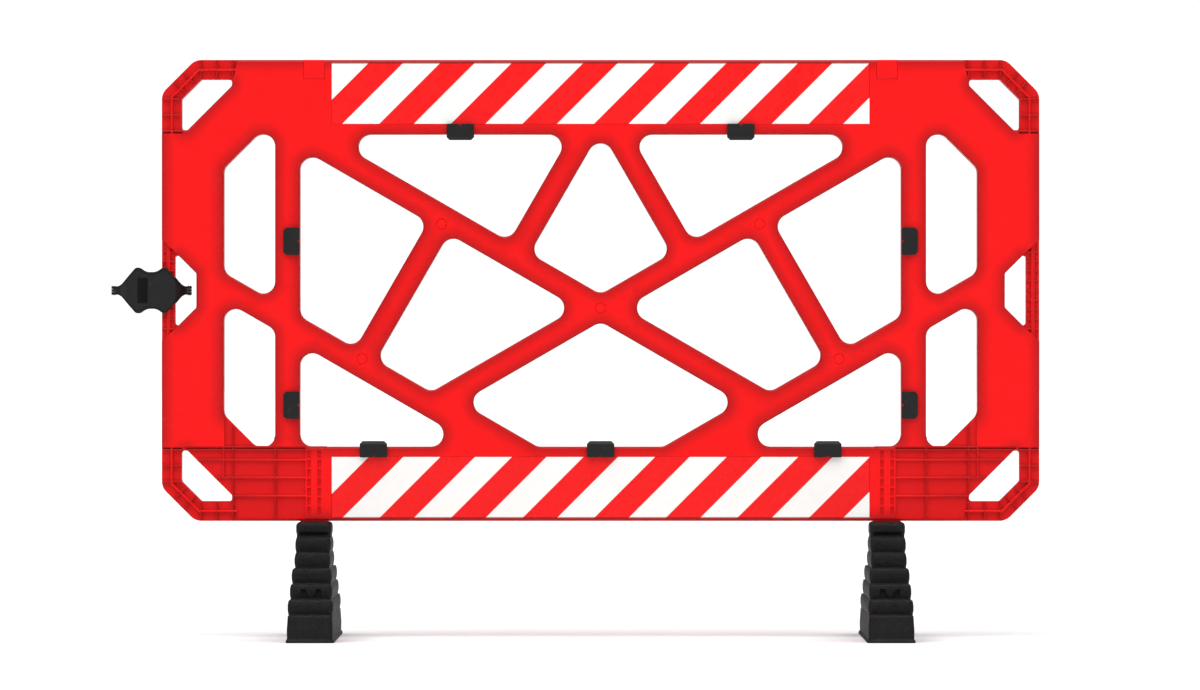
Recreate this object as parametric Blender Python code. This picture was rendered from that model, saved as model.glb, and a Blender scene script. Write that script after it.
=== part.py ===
"""A moulded plastic works barrier on two turnable rubber feet, with a swinging link and nine retainers.

Metres, +Z up. X runs along the panel, the striped face looks to -Y, and the ground is Z = 0.
The origin is under the middle of the whole outline, link included. Blender 4.5.
"""

import math

import bmesh
import bpy
from mathutils import Matrix, Vector

# ---------------------------------------------------------------- driving dimensions

PANEL_LENGTH = 1.500
PANEL_HEIGHT = 0.788
PANEL_DEPTH = 0.045
PANEL_BOTTOM = 0.201
SKIN = 0.003
WALL = 0.003
RIB = 0.003
FIT = 0.0003  # gap between pieces that touch

CORNER_CUT = 0.057  # 45 degree cut at each outer corner
CORNER_ROUND = 0.026

MEMBER_WIDTH = 0.041  # struts of the middle field
HUB_HEIGHT = 0.565  # where the two long struts cross
INNER_STRUT = 0.172  # distance of each steep strut from the hub
OUTER_STRUT = 0.3085
LOWER_STRUT = -0.290
LOWER_GUSSET = -0.2593
FIELD_HALF = 0.514
FIELD_TOP = 0.8616
FIELD_BOTTOM = 0.3278
FIELD_ROUND = 0.0215

SLOT_OUTER = 0.6443
SLOT_INNER = 0.5563
SLOT_ROUND = 0.0205
SLOT_ARM_HEIGHT = 0.5757  # middle of the slanted arm between a side's two slots
SLOT_ARM_X = 0.599
SLOT_TOP_CUT = 1.4475  # x + z along the upper slot's cut corner
SLOT_LOW_CUT = 0.2622  # x - z along the lower slot's cut corner

HAND_BAND = 0.0335  # width of the corner hand bars
HAND_REACH = 0.120  # how far a corner hand hole runs along each edge
HAND_INNER_CUT = 0.164
HAND_ROUND = 0.004
HAND_SLANT_SHARE = 0.93  # width of the bar at the cut corner, as a share of HAND_BAND
HAND_RECESS = 0.008
HAND_RIB_PITCH = 0.0275
HAND_RIB_PLACE = 0.51  # the middle rib, as a share of the bar's width
HAND_RIB_REACH = 0.75  # half length of the slanted cross ribs, as a share of the bar's width
HAND_RECESS_END = 0.131
HAND_RECESS_SLANT = 0.0115  # how much the recess's end leans
SIDE_BAR_WIDTH = 0.0222
SIDE_BAR_HALF_DEPTH = 0.017
SIDE_HOLE_REACH = 0.0591
SIDE_HOLE_HALF = 0.0593
SIDE_HOLE_CUT = 0.0882
SIDE_RECESS_HALF = 0.086
SIDE_RIB_PITCH = 0.0165
SIDE_RIB_WIDTH = 0.0075

LOW_RECESS = 0.006  # ribbed field beside each foot socket
LOW_RECESS_INNER = 0.504
LOW_RIB_DROPS = (0.0223, 0.0526, 0.0840)

RAIL_RIB_PITCH = 0.115
BACK_RIB_RELIEF = 0.004  # back ribs stop this far short of the back

SOCKET_X = 0.4895
SOCKET_HALF_WIDTH = 0.0215
SOCKET_BORE = 0.0145
SOCKET_DEPTH = 0.098
SOCKET_ROOF = 0.012
BOSS_HALF_WIDTH = 0.0235
BOSS_DROP = 0.0012
LADDER_PITCH = 0.016
LADDER_RUNGS = 7
LADDER_POCKET = 0.004  # depth
LADDER_POCKET_WIDTH = 0.0065
LADDER_MIDDLE = 0.011  # width left between the two rows
LADDER_START = 0.0115  # first pocket above the panel's lower edge

SHEET_LENGTH = 0.919
SHEET_HEIGHT = 0.1045
SHEET_THICK = 0.001
SHEET_RECESS = 0.0014
SHEET_EDGE = 0.0050  # rim left above the upper sheet and under the lower one

CAP_WIDTH = 0.0355
CAP_HEIGHT = 0.0325
CAP_DEPTH = 0.020
CAP_PROUD = 0.0008

RETAINER_LENGTH = 0.047
RETAINER_REACH_IN = 0.010  # over the opening
RETAINER_REACH_OUT = 0.018  # over the frame
RETAINER_PLATE = 0.005
RETAINER_STANDOFF = 0.004
RETAINER_CUT = 0.005  # cut off each lip corner
RETAINER_NOTCH_HALF = 0.002
RETAINER_NOTCH_DEPTH = 0.003
STEM_INSET = 0.009  # stem centre from the opening's edge
STEM_RADIUS = 0.003
STEM_TAIL = 0.0035
PUSH_WASHER_RADIUS = 0.0052
PUSH_WASHER_THICK = 0.001

LINK_AXIS_GAP = 0.0588  # between the two bars that the link holds
LINK_TIP = 0.069  # half length to the tip pins' outer face
LINK_HALF_DEPTH = 0.0245
LINK_WALL = 0.003
LINK_PEAK = 0.0393  # half height at the two shoulders
LINK_PEAK_X = 0.0211
LINK_WAIST = 0.0312  # half height in the middle
LINK_TIP_HALF = 0.007
LINK_KNUCKLE = 0.0045
LINK_PIN = 0.002
LINK_PARTING = 0.0002  # each shell stops this far from the middle plane
LINK_WINDOW = (-0.0231, -0.0054)
LINK_WINDOW_HALF_HEIGHT = 0.0217
LINK_BAR_SPACE = (0.0065, 0.0395)  # each bar's space, from the link's middle
LINK_NECK_X = 0.0535  # where a bar's space comes to its point
LINK_SPLIT = 0.0025  # half height of the front shell's knuckle

FOOT_LENGTH = 0.500
FOOT_TOP = 0.1995
FOOT_END_TOP = 0.045
FOOT_TOP_HALF_WIDTH = 0.0302
FOOT_BASE_HALF_WIDTH = 0.0407
FOOT_END_HALF_WIDTH = 0.0390
FOOT_STEP_HALF_WIDTHS = (0.0385, 0.0360, 0.0342, 0.0306, 0.0304)
FOOT_STEP_SETBACK = 0.030  # from the foot's end to its first step
FOOT_BULGE = 0.0016
FOOT_CORNER = 0.006
FOOT_BLOCK_HALF = 0.046
FOOT_BLOCK_BOTTOM = 0.169

POST_RADIUS_LOW = 0.015
POST_RADIUS_HIGH = 0.014
POST_BOTTOM = 0.070
POST_STUB = 0.008
POST_GROOVE = 0.0068
RING_RADIUS = 0.013
RING_THICK = 0.0022
BOLT_RADIUS = 0.006
BOLT_HEAD = 0.01045  # radius over the hexagon's corners
BOLT_HEAD_HEIGHT = 0.0075
BOLT_GRIP = 0.040  # length of the bolt inside the post
BOLT_COUNTERBORE = 0.016
BOLT_COUNTERBORE_DEPTH = 0.018
BOLT_WASHER_RADIUS = 0.014
BOLT_WASHER_THICK = 0.002

ARC_STEP = math.radians(22.5)
ROUND_SIDES = 24

# ---------------------------------------------------------------- what follows from them

LINK_OVERHANG = LINK_TIP + LINK_AXIS_GAP / 2 - SIDE_BAR_WIDTH / 2
PANEL_X = LINK_OVERHANG / 2  # the panel's middle, so that the whole outline is centred on X = 0
PANEL_TOP = PANEL_BOTTOM + PANEL_HEIGHT
PANEL_MID = PANEL_BOTTOM + PANEL_HEIGHT / 2
HALF = PANEL_LENGTH / 2
LINK_AXIS_X = PANEL_X - HALF + SIDE_BAR_WIDTH / 2
FACE = -PANEL_DEPTH / 2
BACK = PANEL_DEPTH / 2
PAST = 0.010  # how far a cutter runs past what it cuts


# ---------------------------------------------------------------- scene and materials


def clear_scene():
    for item in list(bpy.data.objects):
        bpy.data.objects.remove(item, do_unlink=True)


def material(name, colour, roughness, metallic=0.0):
    made = bpy.data.materials.new(name)
    made.use_nodes = True
    shader = made.node_tree.nodes["Principled BSDF"]
    shader.inputs["Base Color"].default_value = (*colour, 1.0)
    shader.inputs["Roughness"].default_value = roughness
    shader.inputs["Metallic"].default_value = metallic
    made.diffuse_color = (*colour, 1.0)
    return made


def make_materials():
    return {
        "panel": material("panel_red", (0.78, 0.012, 0.012), 0.38),
        "sheet": material("reflective_sheet", (0.86, 0.45, 0.42), 0.3),
        "rubber": material("foot_rubber", (0.022, 0.022, 0.024), 0.75),
        "black": material("black_nylon", (0.025, 0.025, 0.028), 0.45),
        "steel": material("zinc_steel", (0.6, 0.6, 0.58), 0.35, 1.0),
    }


# ---------------------------------------------------------------- outlines in the panel's plane
# An outline is a list of (x, z) corners, anticlockwise, x from the panel's middle.


def clip(points, normal, limit):
    """What is left of a polygon where normal . p <= limit."""
    kept = []
    for here, after in zip(points, points[1:] + points[:1]):
        a = normal[0] * here[0] + normal[1] * here[1] - limit
        b = normal[0] * after[0] + normal[1] * after[1] - limit
        if a <= 0:
            kept.append(here)
        if (a < 0) != (b < 0) and a != b:
            t = a / (a - b)
            kept.append((here[0] + t * (after[0] - here[0]), here[1] + t * (after[1] - here[1])))
    return kept


def region(*bounds):
    """The convex outline inside every bound, each (normal, limit)."""
    points = [(-HALF, 0.0), (HALF, 0.0), (HALF, 2 * HALF), (-HALF, 2 * HALF)]
    for normal, limit in bounds:
        points = clip(points, normal, limit)
    return points


def mirrored(points):
    return [(-x, z) for x, z in reversed(points)]


def flipped(points):
    """The outline turned upside down about the panel's middle height."""
    return [(x, 2 * PANEL_MID - z) for x, z in reversed(points)]


def grown(points, distance):
    """The outline with every edge moved out by distance, corners kept sharp."""
    count = len(points)
    edges = []
    for i in range(count):
        a, b = Vector(points[i]), Vector(points[(i + 1) % count])
        along = (b - a).normalized()
        outward = Vector((along.y, -along.x))
        edges.append((a + outward * distance, along))
    moved = []
    for i in range(count):
        (p, u), (q, v) = edges[i - 1], edges[i]
        cross = u.x * v.y - u.y * v.x
        t = ((q.x - p.x) * v.y - (q.y - p.y) * v.x) / cross
        moved.append((p.x + u.x * t, p.y + u.y * t))
    return moved


def rounded(points, radius):
    """The outline with each corner replaced by an arc of this radius."""
    count = len(points)
    outline = []
    for i in range(count):
        corner = Vector(points[i])
        back = (Vector(points[i - 1]) - corner).normalized()
        ahead = (Vector(points[(i + 1) % count]) - corner).normalized()
        half = back.angle(ahead) / 2
        turn = math.pi - 2 * half
        centre = corner + (back + ahead).normalized() * (radius / math.sin(half))
        first = corner + back * (radius / math.tan(half)) - centre
        last = corner + ahead * (radius / math.tan(half)) - centre
        side = 1 if first.x * last.y - first.y * last.x > 0 else -1
        steps = max(2, math.ceil(turn / ARC_STEP - 0.01))
        for k in range(steps + 1):
            angle = side * turn * k / steps
            c, s = math.cos(angle), math.sin(angle)
            outline.append(
                (centre.x + first.x * c - first.y * s, centre.y + first.x * s + first.y * c)
            )
    return outline


def across(angle_deg):
    """The upward normal of a member that runs at this angle."""
    angle = math.radians(angle_deg)
    return (-math.sin(angle), math.cos(angle))


def member_side(angle_deg, offset, above, half_width=MEMBER_WIDTH / 2):
    """The bound that keeps an opening above or below a member set off from the hub."""
    normal = across(angle_deg)
    centre = normal[1] * HUB_HEIGHT + offset
    if above:
        return ((-normal[0], -normal[1]), -(centre + half_width))
    return (normal, centre - half_width)


def field_openings():
    """The ten openings of the middle field, as (corners, corner radius)."""
    top = ((0, 1), FIELD_TOP)
    bottom = ((0, -1), -FIELD_BOTTOM)
    side = ((-1, 0), FIELD_HALF)
    falling_above = member_side(-30, 0, True)
    falling_below = member_side(-30, 0, False)
    rising_above = member_side(30, 0, True)
    rising_below = member_side(30, 0, False)
    left_half = (
        region(falling_above, member_side(60, INNER_STRUT, True), top),
        region(
            side,
            falling_below,
            member_side(60, OUTER_STRUT, True),
            member_side(-30, LOWER_STRUT, True),
        ),
        region(
            falling_below,
            rising_above,
            member_side(60, OUTER_STRUT, False),
            member_side(-30, LOWER_STRUT, True),
        ),
        region(side, bottom, member_side(-30, LOWER_STRUT, False)),
    )
    middle = (
        region(
            falling_above,
            rising_above,
            member_side(60, INNER_STRUT, False),
            member_side(-60, INNER_STRUT, False),
        ),
        region(
            falling_below,
            rising_below,
            member_side(-30, LOWER_GUSSET, True, 0),
            member_side(30, LOWER_GUSSET, True, 0),
            bottom,
        ),
    )
    openings = [*left_half, *(mirrored(points) for points in left_half), *middle]
    return [(points, FIELD_ROUND) for points in openings]


def slot_openings():
    """The two tall slots at each side."""
    root = math.sqrt(0.5)
    sides = (((-1, 0), SLOT_OUTER), ((1, 0), -SLOT_INNER))
    normal = across(-30)
    arm = normal[0] * -SLOT_ARM_X + normal[1] * SLOT_ARM_HEIGHT
    upper = region(
        *sides,
        ((0, 1), FIELD_TOP),
        ((-root, root), root * SLOT_TOP_CUT),
        ((-normal[0], -normal[1]), -(arm + MEMBER_WIDTH / 2)),
    )
    lower = region(
        *sides,
        ((0, -1), -FIELD_BOTTOM),
        ((-root, -root), root * SLOT_LOW_CUT),
        (normal, arm - MEMBER_WIDTH / 2),
    )
    return [(points, SLOT_ROUND) for one in (upper, lower) for points in (one, mirrored(one))]


def corner_hand_hole():
    """The top left hand hole, which follows the cut corner."""
    root = math.sqrt(0.5)
    reach = PANEL_TOP + HALF  # x and z distances from the panel's corner add up from here
    outer_cut = CORNER_CUT + HAND_BAND * math.sqrt(2) * HAND_SLANT_SHARE
    return region(
        ((-1, 0), HALF - HAND_BAND),
        ((0, 1), PANEL_TOP - HAND_BAND),
        ((-root, root), root * (reach - outer_cut)),
        ((root, -root), -root * (reach - HAND_INNER_CUT)),
        ((1, 0), -(HALF - HAND_REACH)),
        ((0, -1), -(PANEL_TOP - HAND_REACH)),
    )


def side_hand_hole():
    """The left hand hole at mid height."""
    root = math.sqrt(0.5)
    inner = HALF - SIDE_HOLE_CUT
    return region(
        ((-1, 0), HALF - SIDE_BAR_WIDTH),
        ((1, 0), -(HALF - SIDE_HOLE_REACH)),
        ((0, 1), PANEL_MID + SIDE_HOLE_HALF),
        ((0, -1), -(PANEL_MID - SIDE_HOLE_HALF)),
        ((root, root), root * (PANEL_MID - inner)),
        ((root, -root), -root * (PANEL_MID + inner)),
    )


def hand_openings():
    corner = corner_hand_hole()
    side = side_hand_hole()
    shapes = (corner, mirrored(corner), flipped(corner), flipped(mirrored(corner)), side, mirrored(side))
    return [(points, HAND_ROUND) for points in shapes]


def panel_outline():
    x, low, high, cut = HALF, PANEL_BOTTOM, PANEL_TOP, CORNER_CUT
    return [
        (-x + cut, low),
        (x - cut, low),
        (x, low + cut),
        (x, high - cut),
        (x - cut, high),
        (-x + cut, high),
        (-x, high - cut),
        (-x, low + cut),
    ]


def box_outline(x_low, x_high, z_low, z_high):
    return [(x_low, z_low), (x_high, z_low), (x_high, z_high), (x_low, z_high)]


def strip(start, end, width):
    """The outline of a straight rib between two points."""
    a, b = Vector(start), Vector(end)
    along = (b - a).normalized()
    side = Vector((along.y, -along.x)) * width / 2
    return [tuple(a + side), tuple(b + side), tuple(b - side), tuple(a - side)]


# ---------------------------------------------------------------- meshes


def add_object(name, mesh, slot=None, helper=False):
    made = bpy.data.objects.new(name, mesh)
    bpy.context.scene.collection.objects.link(made)
    if slot:
        mesh.materials.append(slot)
    if helper:
        made.hide_render = True
        made.display_type = "WIRE"
    return made


def extruded(bm, outline, low, high, place):
    """Adds a closed prism to bm; place(x, z, depth) gives each corner's position."""
    rings = [[bm.verts.new(place(x, z, depth)) for x, z in outline] for depth in (low, high)]
    bm.faces.new(rings[0])
    bm.faces.new(rings[1])
    for i in range(len(outline)):
        j = (i + 1) % len(outline)
        bm.faces.new((rings[0][i], rings[0][j], rings[1][j], rings[1][i]))


def finish_mesh(name, bm):
    bmesh.ops.recalc_face_normals(bm, faces=bm.faces)
    mesh = bpy.data.meshes.new(name)
    bm.to_mesh(mesh)
    bm.free()
    return mesh


def prisms(name, outlines, low, high, slot=None, helper=True):
    """Prisms through the panel's thickness, from outlines in its plane."""
    bm = bmesh.new()
    for outline in outlines:
        extruded(bm, outline, low, high, lambda x, z, depth: (x + PANEL_X, depth, z))
    return add_object(name, finish_mesh(name, bm), slot, helper)


def column(name, outline, low, high, centre, slot=None, helper=True):
    """An upright prism from an outline in plan, its object on the axis at centre."""
    bm = bmesh.new()
    extruded(bm, outline, low, high, lambda x, y, height: (x, y, height))
    made = add_object(name, finish_mesh(name, bm), slot, helper)
    made.location = (centre[0], centre[1], 0.0)
    return made


def turned(name, profile, centre, slot=None, helper=False, sides=ROUND_SIDES, along="Z"):
    """A solid of revolution from (radius, height) pairs, closed by a flat disc at each end."""
    bm = bmesh.new()
    angles = [math.tau * (k + 0.5) / sides for k in range(sides)]
    rings = [
        [bm.verts.new((radius * math.cos(t), radius * math.sin(t), height)) for t in angles]
        for radius, height in profile
    ]
    bm.faces.new(rings[0])
    bm.faces.new(rings[-1])
    for lower, upper in zip(rings, rings[1:]):
        for k in range(sides):
            j = (k + 1) % sides
            bm.faces.new((lower[k], lower[j], upper[j], upper[k]))
    if along == "Y":
        bmesh.ops.rotate(bm, verts=bm.verts, matrix=Matrix.Rotation(-math.pi / 2, 3, "X"))
    mesh = finish_mesh(name, bm)
    mesh.shade_smooth()
    mesh.set_sharp_from_angle(angle=math.radians(40))
    made = add_object(name, mesh, slot, helper)
    made.location = centre
    return made


def tube(name, inner, outer, low, high, centre, slot, along="Z", gap_deg=0.0, sides=ROUND_SIDES):
    """A flat ring or washer, closed or with a gap in it."""
    span = 2 * math.pi - math.radians(gap_deg)
    count = sides if gap_deg == 0 else sides + 1
    bm = bmesh.new()
    loops = []
    for k in range(count):
        t = span * k / sides + math.radians(gap_deg) / 2
        c, s = math.cos(t), math.sin(t)
        corners = ((inner, low), (outer, low), (outer, high), (inner, high))
        loops.append([bm.verts.new((r * c, r * s, h)) for r, h in corners])
    for k in range(sides):
        here, after = loops[k], loops[(k + 1) % count]
        for i in range(4):
            j = (i + 1) % 4
            bm.faces.new((here[i], here[j], after[j], after[i]))
    if gap_deg:
        bm.faces.new(loops[0])
        bm.faces.new(loops[-1])
    if along == "Y":
        bmesh.ops.rotate(bm, verts=bm.verts, matrix=Matrix.Rotation(-math.pi / 2, 3, "X"))
    made = add_object(name, finish_mesh(name, bm), slot)
    made.location = centre
    return made


def boolean(target, other, operation="DIFFERENCE", use_self=False):
    modifier = target.modifiers.new(other.name, "BOOLEAN")
    modifier.operation = operation
    modifier.object = other
    modifier.solver = "EXACT"
    modifier.use_self = use_self


# ---------------------------------------------------------------- panel


def corner_points(points):
    """Distances in from the top left corner, turned into panel coordinates."""
    return [(-HALF + along, PANEL_TOP - down) for along, down in points]


def four_corners(points):
    return [points, mirrored(points), flipped(points), flipped(mirrored(points))]


def hand_recess():
    """The stepped-back front of a corner hand bar, top left."""
    hole = HAND_BAND + PAST
    return corner_points(
        [
            (-PAST, -PAST),
            (-PAST, HAND_REACH + 0.006),
            (HAND_BAND + 0.002, HAND_REACH + 0.006),
            (HAND_BAND + 0.002, HAND_REACH - 0.006),
            (hole + 0.018, hole + 0.018),
            (HAND_RECESS_END - HAND_RECESS_SLANT, HAND_BAND + 0.009),
            (HAND_RECESS_END + 0.002, -PAST),
        ]
    )


def hand_ribs():
    """The middle rib and the cross ribs of the top left hand bar."""
    middle = HAND_BAND * HAND_RIB_PLACE
    bend = CORNER_CUT + middle * math.tan(math.radians(22.5))
    far = HAND_REACH + 0.012
    turns = [(middle, far), (middle, bend), (bend, middle), (far, middle)]
    lines = list(zip(turns, turns[1:]))
    for k in range(3):
        along = bend + HAND_RIB_PITCH * k
        lines.append(((-PAST, along), (HAND_BAND + PAST, along)))
        lines.append(((along, -PAST), (along, HAND_BAND + PAST)))
    spread = (bend - middle) / 3
    reach = HAND_BAND * HAND_RIB_REACH
    for k in (1, 2):
        x, z = middle + spread * k, bend - spread * k
        lines.append(((x - reach, z - reach), (x + reach, z + reach)))
    return [strip(*corner_points(line), RIB) for line in lines]


def side_recess(grow=0.0):
    """The stepped-back front of the left hand bar."""
    edge = SIDE_RECESS_HALF + grow
    inner = SIDE_HOLE_REACH - 0.020
    return [
        (-HALF - PAST, PANEL_MID - edge - PAST),
        (-HALF + SIDE_HOLE_HALF / 2, PANEL_MID - edge + SIDE_HOLE_HALF / 2 - 0.003),
        (-HALF + inner, PANEL_MID - SIDE_HOLE_HALF / 2),
        (-HALF + inner, PANEL_MID + SIDE_HOLE_HALF / 2),
        (-HALF + SIDE_HOLE_HALF / 2, PANEL_MID + edge - SIDE_HOLE_HALF / 2 + 0.003),
        (-HALF - PAST, PANEL_MID + edge + PAST),
    ]


def side_ribs():
    middle = -HALF + SIDE_BAR_WIDTH / 2
    ribs = [strip((middle, PANEL_MID - 0.1), (middle, PANEL_MID + 0.1), SIDE_RIB_WIDTH)]
    for k in range(-5, 6):
        z = PANEL_MID + SIDE_RIB_PITCH * k
        ribs.append(strip((-HALF - PAST, z), (-HALF + SIDE_BAR_WIDTH + 0.012, z), RIB))
    return ribs


def low_recess():
    """The ribbed field beside the left foot socket, with the gusset under the slot."""
    top, low = FIELD_BOTTOM + 0.0005, PANEL_BOTTOM + 0.0035
    hole_top = PANEL_BOTTOM + HAND_REACH
    hole_left = -HALF + HAND_INNER_CUT - HAND_REACH
    slot_cut = -SLOT_LOW_CUT  # x + z on the slot's cut corner
    return [
        (-HALF + HAND_REACH + 0.0085, low),
        (-LOW_RECESS_INNER, low),
        (-LOW_RECESS_INNER, top),
        (slot_cut - top + 0.006, top),
        (-SLOT_OUTER + 0.0015, slot_cut + SLOT_OUTER + 0.012),
        (-SLOT_OUTER + 0.0015, top),
        (hole_left - 0.006, top),
        (hole_left + 0.002, hole_top - 0.004),
        (-HALF + HAND_REACH - 0.004, PANEL_BOTTOM + HAND_INNER_CUT - HAND_REACH - 0.002),
    ]


def low_ribs():
    ribs = []
    for drop in (0.0, *LOW_RIB_DROPS):
        z = FIELD_BOTTOM - drop
        ribs.append(strip((-HALF + SIDE_BAR_WIDTH, z), (-LOW_RECESS_INNER + PAST, z), RIB))
    bottom_of_short = FIELD_BOTTOM - LOW_RIB_DROPS[1]
    ribs.append(strip((-SLOT_OUTER, bottom_of_short), (-SLOT_OUTER, FIELD_BOTTOM + 0.08), RIB))
    ribs.append(strip((-SLOT_INNER, PANEL_BOTTOM - PAST), (-SLOT_INNER, FIELD_BOTTOM + 0.02), RIB))
    return ribs


def ladder_pockets():
    """Two upright rows of small pockets in front of the left foot socket."""
    pockets = []
    half_rib, height = LADDER_MIDDLE / 2, LADDER_PITCH - RIB
    for k in range(LADDER_RUNGS):
        low = PANEL_BOTTOM + LADDER_START + LADDER_PITCH * k
        for x in (-SOCKET_X - half_rib - LADDER_POCKET_WIDTH, -SOCKET_X + half_rib):
            pockets.append(box_outline(x, x + LADDER_POCKET_WIDTH, low, low + height))
    return pockets


def stiffeners():
    """Cross ribs on the back of the rails and side columns: upright ones, then level ones."""
    upright, level = [], []
    for k in range(-4, 4):
        x = RAIL_RIB_PITCH * (k + 0.5)
        upright.append(box_outline(x - RIB / 2, x + RIB / 2, FIELD_TOP - PAST, PANEL_TOP + PAST))
        upright.append(box_outline(x - RIB / 2, x + RIB / 2, PANEL_BOTTOM - PAST, FIELD_BOTTOM + PAST))
    for k in range(1, 7):
        z = FIELD_BOTTOM + 0.010 + (FIELD_TOP - FIELD_BOTTOM) * k / 7
        for x in (-HALF, SLOT_OUTER - PAST):
            level.append(box_outline(x, x + HALF - SLOT_OUTER + PAST, z - RIB / 2, z + RIB / 2))
    return upright, level


def sheet_outline(upper):
    low = PANEL_TOP - SHEET_EDGE - SHEET_HEIGHT if upper else PANEL_BOTTOM + SHEET_EDGE
    return box_outline(-SHEET_LENGTH / 2, SHEET_LENGTH / 2, low, low + SHEET_HEIGHT)


def cap_outline(side):
    x = side * SOCKET_X
    return box_outline(x - CAP_WIDTH / 2, x + CAP_WIDTH / 2, PANEL_TOP - CAP_HEIGHT, PANEL_TOP)


def retainer_places():
    """Each retainer's (name, stem x, stem z, angle): the angle turns its lip from down to its side."""
    top, low = FIELD_TOP + STEM_INSET, FIELD_BOTTOM - STEM_INSET
    side = FIELD_HALF + STEM_INSET
    places = []
    for name, sign in (("left", -1), ("right", 1)):
        places.append((f"retainer_top_{name}", sign * 0.2395, top, 0.0))
        places.append((f"retainer_bottom_{name}", sign * 0.388, low, math.pi))
        for level, z in (("upper", 0.679), ("lower", 0.399)):
            places.append((f"retainer_{name}_{level}", sign * side, z, sign * math.pi / 2))
    places.append(("retainer_bottom_middle", 0.0, low, math.pi))
    return places


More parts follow.
